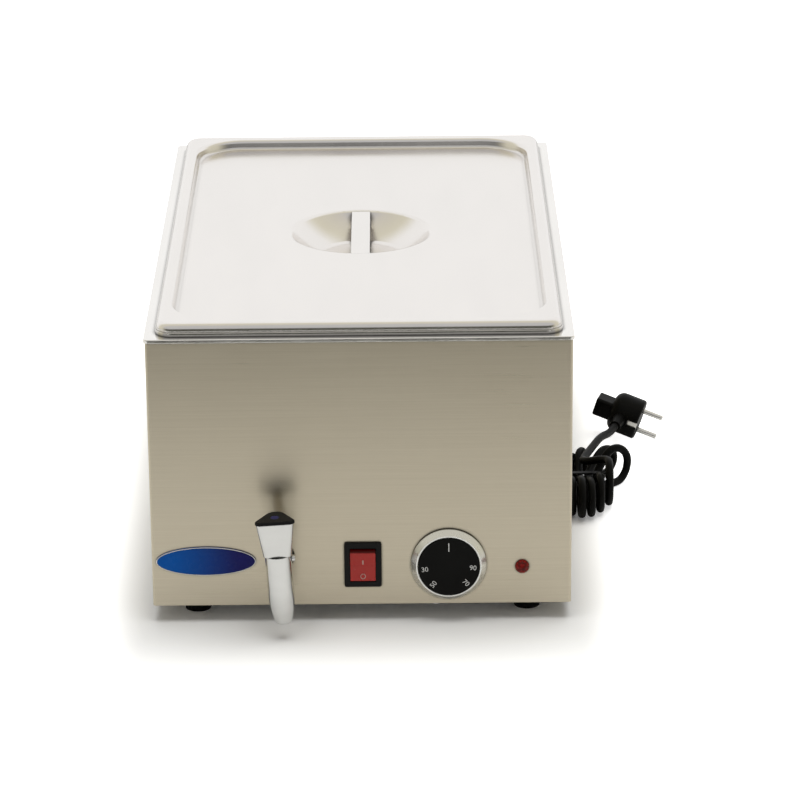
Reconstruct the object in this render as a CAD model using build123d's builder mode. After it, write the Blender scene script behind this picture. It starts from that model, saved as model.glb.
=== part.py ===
from build123d import *
import os
from math import asin, cos, pi, radians, sin, sqrt, tan

# Electric bain-marie for one full gastronorm pan, with drain tap, lid and bundled mains cord.
# Millimetres, +Z up, front towards -Y, origin at the middle of the footprint on the table.

os.makedirs("parts", exist_ok=True)

# Gastronorm pan
PAN_WIDTH = 325.0
PAN_LENGTH = 530.0
PAN_DEPTH = 150.0
PAN_SHEET = 0.8
PAN_TAPER = 4.5
PAN_CORNER = 30.0
PAN_RIM_CORNER = 14.0
PAN_RIM_EDGE = 3.5
PAN_FLOOR_RADIUS = 12.0
PAN_RIM_ROUND = 0.6

# Water well pressed from sheet, with a top flange
WELL_SEAT = 8.5
WELL_CORNER = 32.0
WELL_FLOOR_RADIUS = 10.0
WATER_SPACE = 22.0
TANK_SHEET = 1.0
FLANGE_OVERHANG = 1.3
FLANGE_EDGE = 2.0
FLANGE_ROUND = 0.8
PAN_WELL_GAP = 1.5

# Casing sheet, back panel and bottom plate
CASING_MARGIN_X = 7.5
CASING_MARGIN_Y = 5.0
CASING_SHEET = 0.8
CASING_CORNER = 2.5
CASING_LIP = 12.0
TANK_LIP_GAP = 0.5
SERVICE_SPACE = 60.0
BOTTOM_SHEET = 1.0
BACK_SHEET = 0.8
FIT = 0.3
SHAFT_CLEAR = 0.05

# Rubber feet and their screws
FOOT_HEIGHT = 15.8
FOOT_DIAMETER = 24.0
FOOT_TIP_DIAMETER = 21.0
FOOT_INSET_X = 35.0
FOOT_INSET_Y = 32.0
FOOT_SCREW_DIAMETER = 4.0
FOOT_HEAD_DIAMETER = 8.5
FOOT_HEAD_HEIGHT = 2.8
FOOT_HEAD_DEPTH = 6.0
FOOT_NUT_HEIGHT = 3.2
FOOT_NUT_RADIUS = 4.0
FOOT_SCREW_PROUD = 1.0

# Casing screws
SCREW_DIAMETER = 3.4
SCREW_HEAD_DIAMETER = 6.5
SCREW_HEAD_HEIGHT = 1.8
SCREW_LENGTH = 7.0
BACK_SCREW_PITCH = 68.0
BOTTOM_SCREW_PITCH_X = 120.0
BOTTOM_SCREW_PITCH_Y = 160.0

# Ventilation slots
SLOT_LENGTH = 40.0
SLOT_WIDTH = 4.0
SLOT_PITCH = 12.0
SLOT_ROWS = 4
SLOT_COLUMN_PITCH = 90.0

# Lid with strap handle
LID_INSET = 0.8
LID_SHEET = 0.8
LID_EDGE = 7.0
LID_CORNER = 13.0
LID_EDGE_ROUND = 5.6
LID_BORDER_X = 11.0
LID_BORDER_Y = 14.0
LID_RECESS = 8.5
LID_BEND = 3.6
LID_RECESS_CORNER = 42.0
LID_RECESS_TAPER = 14.0
DISH_DIAMETER = 120.0
DISH_DEPTH = 22.0
DISH_FLOOR_DIAMETER = 72.0
DISH_SIDE_BULGE = 1.2
DISH_FLOOR_ROUND = 9.0
DISH_LIP_ROUND = 4.0
STRAP_WIDTH = 16.0
STRAP_THICKNESS = 2.0
STRAP_DROP = 1.0
STRAP_LEG = 7.0

# Controls on the front
CONTROL_HEIGHT = 35.0
SWITCH_X = 1.0
LAMP_MARGIN = 40.0
LAMP_DROP = 3.0
KNOB_LAMP_SPACE = 59.5
TAP_MARGIN = 104.5
BADGE_GAP = 20.0
BADGE_RISE = 4.0

# Rocker switch
BEZEL_WIDTH = 30.0
BEZEL_HEIGHT = 38.5
BEZEL_THICKNESS = 2.5
BEZEL_CORNER = 1.5
ROCKER_WIDTH = 20.4
ROCKER_RADIUS = 14.2
ROCKER_TILT = 18.0
ROCKER_RIDGE = 3.4
ROCKER_PIVOT_DEPTH = 1.0
ROCKER_PIN_DIAMETER = 3.0
ROCKER_PIN_LENGTH = 1.2
ROCKER_KEEL_RADIUS = 7.8
ROCKER_KEEL_ANGLE = 30.0
HOUSING_WALL = 1.6
HOUSING_DEPTH = 26.0
HOUSING_CAVITY = 9.0
BLADE_WIDTH = 6.3
BLADE_THICKNESS = 0.8
BLADE_LENGTH = 9.0
BLADE_PITCH_X = 10.0
BLADE_PITCH_Z = 14.0

# Thermostat knob and body
SKIRT_DIAMETER = 61.0
SKIRT_TOP_DIAMETER = 53.0
SKIRT_HEIGHT = 6.0
SKIRT_WALL = 1.4
KNOB_GAP = 0.8
DIAL_DIAMETER = 50.0
DIAL_PROUD = 1.0
DIAL_THICKNESS = 2.4
DIAL_ROUND = 0.8
HUB_DIAMETER = 12.0
HUB_GAP = 1.2
SPINDLE_DIAMETER = 6.0
SPINDLE_SEAT = 10.0
SPINDLE_GRIP = 4.0
SPINDLE_HOLE_MARGIN = 1.5
STAT_WIDTH = 45.0
STAT_HEIGHT = 36.0
STAT_DEPTH = 38.0
STAT_SCREW_PITCH = 28.0
STAT_SCREW_DIAMETER = 4.0
STAT_HEAD_DIAMETER = 7.5
STAT_HEAD_HEIGHT = 2.2
STAT_SCREW_LENGTH = 6.0

# Thermostat bulb under the tank and overheat cut-out
BULB_DIAMETER = 6.0
BULB_LENGTH = 70.0
BULB_Y = 95.0
CAPILLARY_DIAMETER = 1.6
CAPILLARY_LEAD = 20.0
CAPILLARY_BEND = 8.0
CLIP_THICKNESS = 0.8
CLIP_WIDTH = 10.0
CUTOUT_DIAMETER = 16.0
CUTOUT_HEIGHT = 10.0
CUTOUT_X = -20.0
CUTOUT_Y = 52.0

# Pilot lamp
LAMP_DIAMETER = 11.5
LAMP_RIM = 1.2
LAMP_DOME = 4.2
LAMP_STEM_DIAMETER = 8.8
LAMP_STEM = 6.0
LAMP_BODY_LENGTH = 18.0
LAMP_NUT_DIAMETER = 13.0
LAMP_NUT_HEIGHT = 4.0

# Blank oval plate
BADGE_LENGTH = 81.0
BADGE_HEIGHT = 25.0
BADGE_THICKNESS = 1.0

# Drain tap
TAP_OFFSET = 34.5
TAP_LEAN = 3.5
TAP_JOINT = 16.0
TAP_TIP = 42.5
BARREL_RADIUS = 10.6
SPOUT_SHOULDER = 12.0
SPOUT_TIP_RADIUS = 6.6
SPOUT_BULGE = 1.4
OUTLET_DIAMETER = 10.0
OUTLET_DEPTH = 15.0
WATERWAY_DIAMETER = 7.0
STEM_DIAMETER = 14.0
COLLAR_DIAMETER = 20.0
COLLAR_THICKNESS = 3.0
SEAL_DIAMETER = 22.0
SEAL_THICKNESS = 1.5
THREAD_DIAMETER = 16.6
LOCK_NUT_RADIUS = 13.0
LOCK_NUT_HEIGHT = 6.0
TAIL_LENGTH = 8.0
HANDLE_HEIGHT = 29.0
HANDLE_GAP = 0.3
HANDLE_TOP_INRADIUS = 10.5
HANDLE_BOTTOM_INRADIUS = 8.2
HANDLE_CORNER = 4.0
HANDLE_BACK_CORNER = 7.0
CAP_INRADIUS = 11.1
CAP_CORNER = 4.5
CAP_BACK_CORNER = 8.5
CAP_THICKNESS = 2.4
CAP_ROUND = 1.4
DOT_DIAMETER = 7.0
DOT_THICKNESS = 0.6
VALVE_DIAMETER = 8.0
VALVE_LOW = 4.5
VALVE_GRIP = 12.0
STOP_HEAD_DIAMETER = 5.4
STOP_HEAD_LENGTH = 3.0
STOP_SHANK_DIAMETER = 3.0
STOP_SHANK_LENGTH = 4.0
STOP_DROP = 4.0

# Drain elbow, hose sleeve and clips
DRAIN_DIAMETER = 12.0
DRAIN_WALL = 1.0
DRAIN_BEND = 15.0
DRAIN_DROP = 2.0
DRAIN_Y = 45.0
HOSE_WALL = 2.0
HOSE_LENGTH = 14.0
HOSE_GAP = 1.0
CLIP_BAND = 1.0
CLIP_BAND_WIDTH = 4.0

# Heating element, clamp plate, studs and nuts
ELEMENT_DIAMETER = 8.0
ELEMENT_GAP = 0.2
ELEMENT_LEG_PITCH = 60.0
ELEMENT_REAR_MARGIN = 90.0
ELEMENT_FRONT_MARGIN = 80.0
ELEMENT_INNER_MARGIN = 150.0
ELEMENT_BEND = 25.0
PIN_DIAMETER = 3.0
PIN_LENGTH = 12.0
PLATE_WIDTH = 250.0
PLATE_LENGTH = 290.0
PLATE_SHEET = 1.0
PLATE_CORNER = 8.0
PLATE_Y = 25.0
STUD_DIAMETER = 5.0
STUD_TAIL = 6.0
STUD_PITCH_Y = 180.0
STUD_NUT_RADIUS = 4.6
STUD_NUT_HEIGHT = 4.0

# Supply entry
GLAND_X = 92.0
GLAND_HEIGHT = 30.0
GLAND_DIAMETER = 22.0
GLAND_FLANGE = 5.0
GLAND_THREAD_DIAMETER = 16.0
GLAND_THREAD_LENGTH = 12.0
GLAND_NUT_RADIUS = 12.0
GLAND_NUT_HEIGHT = 4.0
BOOT_DIAMETER = 15.0
BOOT_TIP_DIAMETER = 9.8
BOOT_LENGTH = 32.0
BOOT_GRIP = 12.0
BLOCK_WIDTH = 42.0
BLOCK_DEPTH = 24.0
BLOCK_HEIGHT = 18.0
BLOCK_CORNER = 1.6
BLOCK_SETBACK = 75.0
CORE_DIAMETER = 2.0
CORE_ENTRY_PITCH = 2.2
CORE_PITCH = 10.0
CORE_TURN = 8.0
WIRE_DIAMETER = 2.6
WIRE_TURN = 10.0
EARTH_STUD_DIAMETER = 5.0
EARTH_STUD_LENGTH = 14.0
EARTH_STUD_OFFSET = 45.0

# Mains cord, hank, tie and plug
CORD_DIAMETER = 7.0
FLOOR_GAP = 0.1
BEND_SHARE = 0.45
HANK_X = 198.0
WAIST_Y = 30.0
WAIST_PITCH = 7.7
LAYER_STEP = 7.6
LOBE_PITCH = 8.3
LOBE_KNEES = (-24.0, -29.0, -27.0, -17.0, 0.0)
LOBE_TOPS = (31.0, 33.5, 31.0, 32.5, 40.0)
CROSS_X = -3.0
CROSS_Y = 34.0
CROSS_HEADING = 7.0
EXIT_X = 6.7
EXIT_Y = 65.4
EXIT_Z = 29.6
EXIT_HEADING = 19.3
LEAD_RUN = 14.0
TAIL_RUN = 17.0
TIE_THICKNESS = 1.2
TIE_WIDTH = 5.0
TIE_CLEAR = 0.6
PLUG_RADIUS = 18.5
PLUG_X = 252.7
PLUG_Y = 160.0
PLUG_TURN = 15.7
PLUG_TILT = 17.5
PLUG_LENGTH = 28.0
PLUG_EDGE = 1.2
PLUG_ROUND = 8.5
PLUG_CORE_Z = 17.0
PLUG_GRIP_WIDTH = 17.0
PLUG_GRIP_HEIGHT = 20.0
PLUG_GRIP_LENGTH = 15.0
PLUG_GRIP_ROUND = 3.0
PLUG_PIN_DIAMETER = 4.8
PLUG_PIN_LENGTH = 19.0
PLUG_PIN_PITCH = 19.0
PLUG_NUB_REACH = 35.0
PLUG_NUB_DIAMETER = 13.0
PLUG_NUB_TIP = 10.0
EARTH_SLOT_WIDTH = 6.0
EARTH_SLOT_DEPTH = 3.6
EARTH_SLOT_LENGTH = 9.5
EARTH_STRIP_THICKNESS = 1.0

# Sizes and levels that follow from the values above
WELL_WIDTH = PAN_WIDTH - 2 * WELL_SEAT
WELL_LENGTH = PAN_LENGTH - 2 * WELL_SEAT
WELL_DEPTH = PAN_DEPTH - PAN_RIM_EDGE + WATER_SPACE
CASING_WIDTH = PAN_WIDTH + 2 * CASING_MARGIN_X
CASING_DEPTH = PAN_LENGTH + 2 * CASING_MARGIN_Y
CASING_BOTTOM = FOOT_HEIGHT - CASING_SHEET
TANK_BOTTOM = CASING_BOTTOM + SERVICE_SPACE
FLANGE_TOP = TANK_BOTTOM + TANK_SHEET + WELL_DEPTH
CASING_TOP = FLANGE_TOP - TANK_SHEET
RIM_TOP = FLANGE_TOP + PAN_RIM_EDGE
LID_TOP = RIM_TOP + LID_EDGE
LID_PANEL = LID_TOP - LID_RECESS
BOTTOM_TOP = FOOT_HEIGHT + BOTTOM_SHEET
TAP_REACH = TAP_OFFSET + CAP_INRADIUS
CASING_Y = (TAP_REACH - SCREW_HEAD_HEIGHT) / 2
FRONT_Y = CASING_Y - CASING_DEPTH / 2
BACK_Y = CASING_Y + CASING_DEPTH / 2
BACK_FACE_Y = BACK_Y - CASING_SHEET
BACK_INSIDE_Y = BACK_FACE_Y - BACK_SHEET
INSIDE_FRONT_Y = FRONT_Y + CASING_SHEET
CONTROL_Z = CASING_BOTTOM + CONTROL_HEIGHT
LAMP_X = CASING_WIDTH / 2 - LAMP_MARGIN
KNOB_X = LAMP_X - KNOB_LAMP_SPACE
TAP_X = TAP_MARGIN - CASING_WIDTH / 2
LAMP_Z = CONTROL_Z - LAMP_DROP
BADGE_Z = CONTROL_Z + BADGE_RISE
BADGE_X = TAP_X - BADGE_GAP - BADGE_LENGTH / 2
TAP_Z = TANK_BOTTOM - DRAIN_DROP - DRAIN_BEND
TAP_Y = FRONT_Y - TAP_OFFSET
GLAND_Z = CASING_BOTTOM + GLAND_HEIGHT
INNER_WIDTH = CASING_WIDTH - 2 * CASING_SHEET
INNER_DEPTH = CASING_DEPTH - 2 * CASING_SHEET
INNER_CORNER = CASING_CORNER - CASING_SHEET
FOOT_X = CASING_WIDTH / 2 - FOOT_INSET_X
FOOT_Y = CASING_DEPTH / 2 - FOOT_INSET_Y
LIP_SCREW_X = (CASING_WIDTH - CASING_LIP) / 2
LIP_SCREW_Y = (CASING_DEPTH - CASING_LIP) / 2
CORD_RADIUS = CORD_DIAMETER / 2
CORD_SECTION = pi * CORD_RADIUS**2
FLOOR_Z = CORD_RADIUS + FLOOR_GAP

# Planes: the front face looks along -Y, the back panel along +Y, both with Z upright in the sketch
FRONT = Plane(origin=(0, FRONT_Y, 0), x_dir=(1, 0, 0), z_dir=(0, -1, 0))
BACK = Plane(origin=(0, BACK_Y, 0), x_dir=(-1, 0, 0), z_dir=(0, 1, 0))
LEVEL = Plane(origin=(0, CASING_Y, 0))
LEAN = radians(TAP_LEAN)
TAP = Plane(origin=(TAP_X, TAP_Y, TAP_Z), x_dir=(cos(LEAN), 0, sin(LEAN)), z_dir=(-sin(LEAN), 0, cos(LEAN)))


def save(piece, name):
    """Label a finished piece and write it as its own file."""
    piece.part.label = name
    export_step(piece.part, f"parts/{name}.step")


def corner_radii(points):
    """Tangent arc at each inner point: a share of the shorter run over the tangent of half the turn."""
    radii = []
    for before, here, after in zip(points, points[1:], points[2:]):
        run_in = Vector(here) - Vector(before)
        run_out = Vector(after) - Vector(here)
        turn = radians(run_in.get_angle(run_out))
        radii.append(BEND_SHARE * min(run_in.length, run_out.length) / tan(turn / 2))
    return radii


def route(points, radii):
    """Straight runs joined by tangent arcs."""
    with BuildLine() as path:
        FilletPolyline(*points, radius=radii)
    return path.wires()[0]


def tube(path, diameter):
    """A round tube along a path."""
    with BuildPart() as result:
        with BuildSketch(Plane(origin=path @ 0, z_dir=path % 0)):
            Circle(diameter / 2)
        sweep(path=path)
    return result


def biarc(start, start_dir, end, end_dir):
    """Two tangent arcs between two points with given directions."""
    p0, t0, p1, t1 = Vector(start), Vector(start_dir), Vector(end), Vector(end_dir)
    span = p1 - p0
    spread = 1 - t0.dot(t1)
    along = span.dot(t0 + t1)
    if spread < 1e-9:
        reach = span.dot(span) / (2 * along)
    else:
        reach = (-along + sqrt(along * along + 2 * spread * span.dot(span))) / (2 * spread)
    first = p0 + t0 * reach
    last = p1 - t1 * reach
    middle = (first + last) / 2
    TangentArc(p0, middle, tangent=t0)
    TangentArc(middle, p1, tangent=(last - first).normalized())


# Casing: folded sheet with lips at the top, bottom and rear
TOP_LIP_X = WELL_WIDTH + 2 * TANK_SHEET + 2 * TANK_LIP_GAP
TOP_LIP_Y = WELL_LENGTH + 2 * TANK_SHEET + 2 * TANK_LIP_GAP
HOUSING_WIDTH = ROCKER_WIDTH + 2 * FIT + 2 * HOUSING_WALL
OPENING_HEIGHT = 2 * (ROCKER_RADIUS + FIT)
HOUSING_HEIGHT = OPENING_HEIGHT + 2 * HOUSING_WALL
back_screw_spots = [
    (side * LIP_SCREW_X, (CASING_BOTTOM + CASING_TOP) / 2 + row * BACK_SCREW_PITCH)
    for side in (-1, 1)
    for row in (-1, 0, 1)
]
bottom_screw_spots = [
    (side * LIP_SCREW_X, row * BOTTOM_SCREW_PITCH_Y / 2) for side in (-1, 1) for row in (-1, 1)
] + [
    (row * BOTTOM_SCREW_PITCH_X / 2, side * LIP_SCREW_Y) for side in (-1, 1) for row in (-1, 1)
]
with BuildPart() as casing_wrap:
    with BuildSketch(LEVEL.offset(CASING_BOTTOM)):
        RectangleRounded(CASING_WIDTH, CASING_DEPTH, CASING_CORNER)
    extrude(amount=CASING_TOP - CASING_BOTTOM)
    with BuildSketch(LEVEL.offset(CASING_BOTTOM + CASING_SHEET)):
        RectangleRounded(INNER_WIDTH, INNER_DEPTH, INNER_CORNER)
    extrude(amount=CASING_TOP - CASING_BOTTOM - 2 * CASING_SHEET, mode=Mode.SUBTRACT)
    with BuildSketch(LEVEL.offset(CASING_TOP)):
        RectangleRounded(TOP_LIP_X, TOP_LIP_Y, WELL_CORNER)
    extrude(amount=-CASING_SHEET, mode=Mode.SUBTRACT)
    with BuildSketch(LEVEL.offset(CASING_BOTTOM)):
        Rectangle(CASING_WIDTH - 2 * CASING_LIP, CASING_DEPTH - 2 * CASING_LIP)
        with Locations(*bottom_screw_spots):
            Circle(SCREW_DIAMETER / 2 + FIT)
    extrude(amount=CASING_SHEET, mode=Mode.SUBTRACT)
    with BuildSketch(BACK):
        with Locations((0, (CASING_BOTTOM + CASING_TOP) / 2)):
            Rectangle(CASING_WIDTH - 2 * CASING_LIP, CASING_TOP - CASING_BOTTOM - 2 * CASING_LIP)
        with Locations(*back_screw_spots):
            Circle(SCREW_DIAMETER / 2 + FIT)
    extrude(amount=-CASING_SHEET, mode=Mode.SUBTRACT)
    with BuildSketch(FRONT):
        with Locations((SWITCH_X, CONTROL_Z)):
            Rectangle(HOUSING_WIDTH + 2 * FIT, HOUSING_HEIGHT + 2 * FIT)
        with Locations((KNOB_X, CONTROL_Z)):
            Circle(SPINDLE_DIAMETER / 2 + SPINDLE_HOLE_MARGIN)
            with GridLocations(STAT_SCREW_PITCH, 1, 2, 1):
                Circle(STAT_SCREW_DIAMETER / 2 + FIT)
        with Locations((LAMP_X, LAMP_Z)):
            Circle(LAMP_STEM_DIAMETER / 2 + FIT)
        with Locations((TAP_X, TAP_Z)):
            Circle(THREAD_DIAMETER / 2 + FIT)
    extrude(amount=-CASING_SHEET, mode=Mode.SUBTRACT)
save(casing_wrap, "casing_wrap")

# Back panel behind the rear lips, with ventilation slots and the gland hole
BACK_PANEL_LOW = BOTTOM_TOP + FIT
BACK_PANEL_HIGH = CASING_TOP - CASING_SHEET - FIT
with BuildPart() as back_panel:
    with BuildSketch(BACK.offset(-CASING_SHEET)):
        with Locations((0, (BACK_PANEL_LOW + BACK_PANEL_HIGH) / 2)):
            Rectangle(INNER_WIDTH - 2 * INNER_CORNER, BACK_PANEL_HIGH - BACK_PANEL_LOW)
        with Locations(*back_screw_spots):
            Circle(SCREW_DIAMETER / 2 + SHAFT_CLEAR, mode=Mode.SUBTRACT)
        with Locations((-GLAND_X, GLAND_Z)):
            Circle(GLAND_THREAD_DIAMETER / 2 + FIT, mode=Mode.SUBTRACT)
        with Locations((0, (BACK_PANEL_LOW + BACK_PANEL_HIGH) / 2)):
            with GridLocations(SLOT_COLUMN_PITCH, SLOT_PITCH, 2, SLOT_ROWS):
                SlotOverall(SLOT_LENGTH, SLOT_WIDTH, mode=Mode.SUBTRACT)
    extrude(amount=-BACK_SHEET)
save(back_panel, "back_panel")

# Bottom plate on the bottom lips, with ventilation slots and foot screw holes
foot_spots = [(side * FOOT_X, row * FOOT_Y) for row in (-1, 1) for side in (-1, 1)]
with BuildPart() as bottom_plate:
    with BuildSketch(LEVEL.offset(FOOT_HEIGHT)):
        RectangleRounded(INNER_WIDTH - 2 * FIT, INNER_DEPTH - 2 * FIT, INNER_CORNER)
        with Locations(*bottom_screw_spots):
            Circle(SCREW_DIAMETER / 2 + SHAFT_CLEAR, mode=Mode.SUBTRACT)
        with Locations(*foot_spots):
            Circle(FOOT_SCREW_DIAMETER / 2 + FIT, mode=Mode.SUBTRACT)
        with GridLocations(SLOT_COLUMN_PITCH, SLOT_PITCH, 2, SLOT_ROWS):
            SlotOverall(SLOT_LENGTH, SLOT_WIDTH, mode=Mode.SUBTRACT)
    extrude(amount=BOTTOM_SHEET)
save(bottom_plate, "bottom_plate")

# Casing screws: heads outside on the lips, shanks through the sheet
BELOW = LEVEL.offset(CASING_BOTTOM)
with BuildPart() as casing_screws:
    for face, spots, outwards in ((BACK, back_screw_spots, 1), (BELOW, bottom_screw_spots, -1)):
        with BuildSketch(face):
            with Locations(*spots):
                Circle(SCREW_HEAD_DIAMETER / 2)
        extrude(amount=outwards * SCREW_HEAD_HEIGHT)
        with BuildSketch(face):
            with Locations(*spots):
                Circle(SCREW_DIAMETER / 2)
        extrude(amount=-outwards * SCREW_LENGTH)
save(casing_screws, "casing_screws")

# Feet: tapered rubber with a sunk screw
foot_names = ("foot_front_left", "foot_front_right", "foot_rear_left", "foot_rear_right")
for foot_name, (foot_x, foot_y) in zip(foot_names, foot_spots):
    foot_base = Plane(origin=(foot_x, CASING_Y + foot_y, 0))
    with BuildPart() as foot:
        with BuildSketch(foot_base):
            Circle(FOOT_TIP_DIAMETER / 2)
        with BuildSketch(foot_base.offset(FOOT_HEIGHT)):
            Circle(FOOT_DIAMETER / 2)
        loft()
        with BuildSketch(foot_base):
            Circle(FOOT_SCREW_DIAMETER / 2 + SHAFT_CLEAR)
        extrude(amount=FOOT_HEIGHT, mode=Mode.SUBTRACT)
        with BuildSketch(foot_base):
            Circle(FOOT_HEAD_DIAMETER / 2 + FIT)
        extrude(amount=FOOT_HEAD_DEPTH, mode=Mode.SUBTRACT)
    save(foot, foot_name)

FOOT_SCREW_TOP = BOTTOM_TOP + FOOT_NUT_HEIGHT + FOOT_SCREW_PROUD
with BuildPart() as foot_screws:
    with BuildSketch(LEVEL.offset(FOOT_HEAD_DEPTH - FOOT_HEAD_HEIGHT)):
        with Locations(*foot_spots):
            Circle(FOOT_HEAD_DIAMETER / 2)
    extrude(amount=FOOT_HEAD_HEIGHT)
    with BuildSketch(LEVEL.offset(FOOT_HEAD_DEPTH)):
        with Locations(*foot_spots):
            Circle(FOOT_SCREW_DIAMETER / 2)
    extrude(amount=FOOT_SCREW_TOP - FOOT_HEAD_DEPTH)
save(foot_screws, "foot_screws")

with BuildPart() as foot_nuts:
    with BuildSketch(LEVEL.offset(BOTTOM_TOP)):
        with Locations(*foot_spots):
            RegularPolygon(FOOT_NUT_RADIUS, 6)
        with Locations(*foot_spots):
            Circle(FOOT_SCREW_DIAMETER / 2 + SHAFT_CLEAR, mode=Mode.SUBTRACT)
    extrude(amount=FOOT_NUT_HEIGHT)
save(foot_nuts, "foot_nuts")

# Water well: pressed tank with welded studs under its floor, its flange turned down over the casing
ELEMENT_Z = TANK_BOTTOM - ELEMENT_GAP - ELEMENT_DIAMETER / 2
ELEMENT_FRONT_Y = FRONT_Y + ELEMENT_FRONT_MARGIN
ELEMENT_INNER_Y = FRONT_Y + ELEMENT_INNER_MARGIN
ELEMENT_REAR_Y = BACK_Y - ELEMENT_REAR_MARGIN
PLATE_LOW = ELEMENT_Z - ELEMENT_DIAMETER / 2 - PLATE_SHEET
PLATE_BASE = Plane(origin=(0, CASING_Y + PLATE_Y, 0))
leg = ELEMENT_LEG_PITCH
stud_spots = [(x * leg, y * STUD_PITCH_Y / 2) for x in (-1, 0, 1) for y in (-1, 1)]
FLANGE_WIDTH = CASING_WIDTH + 2 * FLANGE_OVERHANG
FLANGE_DEPTH = CASING_DEPTH + 2 * FLANGE_OVERHANG
FLANGE_CORNER = CASING_CORNER + FLANGE_OVERHANG
with BuildPart() as well_tank:
    with BuildSketch(LEVEL.offset(CASING_TOP)):
        RectangleRounded(WELL_WIDTH + 2 * TANK_SHEET, WELL_LENGTH + 2 * TANK_SHEET, WELL_CORNER + TANK_SHEET)
    extrude(amount=TANK_BOTTOM - CASING_TOP)
    fillet(well_tank.edges().group_by(Axis.Z)[0], WELL_FLOOR_RADIUS + TANK_SHEET)
    offset(amount=-TANK_SHEET, openings=well_tank.faces().sort_by(Axis.Z)[-1])
    with BuildSketch(LEVEL.offset(CASING_TOP)):
        RectangleRounded(FLANGE_WIDTH, FLANGE_DEPTH, FLANGE_CORNER)
        RectangleRounded(WELL_WIDTH, WELL_LENGTH, WELL_CORNER, mode=Mode.SUBTRACT)
    extrude(amount=TANK_SHEET)
    with BuildSketch(LEVEL.offset(CASING_TOP)):
        RectangleRounded(FLANGE_WIDTH, FLANGE_DEPTH, FLANGE_CORNER)
        RectangleRounded(
            FLANGE_WIDTH - 2 * TANK_SHEET,
            FLANGE_DEPTH - 2 * TANK_SHEET,
            FLANGE_CORNER - TANK_SHEET,
            mode=Mode.SUBTRACT,
        )
    extrude(amount=-FLANGE_EDGE)
    fillet(well_tank.faces().sort_by(Axis.Z)[-1].outer_wire().edges(), FLANGE_ROUND)
    with BuildSketch(Plane(origin=(TAP_X, FRONT_Y + DRAIN_Y, TANK_BOTTOM))):
        Circle(DRAIN_DIAMETER / 2 - DRAIN_WALL)
    extrude(amount=TANK_SHEET, mode=Mode.SUBTRACT)
    with BuildSketch(PLATE_BASE.offset(TANK_BOTTOM)):
        with Locations(*stud_spots):
            Circle(STUD_DIAMETER / 2)
    extrude(amount=PLATE_LOW - STUD_TAIL - TANK_BOTTOM)
save(well_tank, "well_tank")

# Gastronorm pan hanging in the well by its rim
PAN_OUTER_WIDTH = WELL_WIDTH - 2 * PAN_WELL_GAP
PAN_OUTER_LENGTH = WELL_LENGTH - 2 * PAN_WELL_GAP


def pan_block(inset):
    """Tapered block with a rounded floor, smaller all round by an inset."""
    with BuildPart() as block:
        with BuildSketch(LEVEL.offset(RIM_TOP)):
            RectangleRounded(PAN_OUTER_WIDTH - 2 * inset, PAN_OUTER_LENGTH - 2 * inset, PAN_CORNER - inset)
        extrude(amount=inset - PAN_DEPTH, taper=PAN_TAPER)
        fillet(block.edges().group_by(Axis.Z)[0], PAN_FLOOR_RADIUS - inset)
    return block.part


pan_outside = pan_block(0)
pan_inside = pan_block(PAN_SHEET)
with BuildPart() as gn_pan:
    add(pan_outside)
    with BuildSketch(LEVEL.offset(RIM_TOP - PAN_SHEET)):
        RectangleRounded(PAN_WIDTH, PAN_LENGTH, PAN_RIM_CORNER)
    extrude(amount=PAN_SHEET)
    with BuildSketch(LEVEL.offset(FLANGE_TOP)):
        RectangleRounded(PAN_WIDTH, PAN_LENGTH, PAN_RIM_CORNER)
        RectangleRounded(
            PAN_WIDTH - 2 * PAN_SHEET,
            PAN_LENGTH - 2 * PAN_SHEET,
            PAN_RIM_CORNER - PAN_SHEET,
            mode=Mode.SUBTRACT,
        )
    extrude(amount=PAN_RIM_EDGE)
    fillet(gn_pan.faces().sort_by(Axis.Z)[-1].outer_wire().edges(), PAN_RIM_ROUND)
    add(pan_inside, mode=Mode.SUBTRACT)
save(gn_pan, "gn_pan")

# Lid: rim with a down-turned edge, recessed panel and a round dish
LID_WIDTH = PAN_WIDTH - 2 * LID_INSET
LID_LENGTH = PAN_LENGTH - 2 * LID_INSET
RECESS_WIDTH = LID_WIDTH - 2 * LID_BORDER_X
RECESS_LENGTH = LID_LENGTH - 2 * LID_BORDER_Y
DISH_RADIUS = DISH_DIAMETER / 2
DISH_FLOOR = DISH_FLOOR_DIAMETER / 2


LID_SECTION = Plane(origin=(0, CASING_Y, LID_PANEL), x_dir=(1, 0, 0), z_dir=(0, -1, 0))
LID_AXIS = Axis((0, CASING_Y, LID_PANEL), (0, 0, 1))


def dish_block(grow):
    """Solid of the dish, grown outwards by a thickness."""
    mouth = (DISH_RADIUS + grow, 0)
    foot = (DISH_FLOOR + grow / 2, -DISH_DEPTH - grow)
    sag = ((mouth[0] + foot[0]) / 2 + DISH_SIDE_BULGE, (mouth[1] + foot[1]) / 2 - DISH_SIDE_BULGE)
    with BuildPart() as block:
        with BuildSketch(LID_SECTION):
            with BuildLine():
                Line((0, 0), mouth)
                ThreePointArc(mouth, sag, foot)
                Line(foot, (0, -DISH_DEPTH - grow))
                Line((0, -DISH_DEPTH - grow), (0, 0))
            make_face()
        revolve(axis=LID_AXIS)
        fillet(block.faces().sort_by(Axis.Z)[0].edges(), DISH_FLOOR_ROUND + grow)
    return block.part


def lid_block(inset):
    """Block of the lid's rim with a rounded edge, smaller all round by an inset."""
    with BuildPart() as block:
        with BuildSketch(LEVEL.offset(RIM_TOP)):
            RectangleRounded(LID_WIDTH - 2 * inset, LID_LENGTH - 2 * inset, LID_CORNER - inset)
        extrude(amount=LID_EDGE - inset)
        fillet(block.faces().sort_by(Axis.Z)[-1].edges(), LID_EDGE_ROUND - inset)
    return block.part


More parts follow.
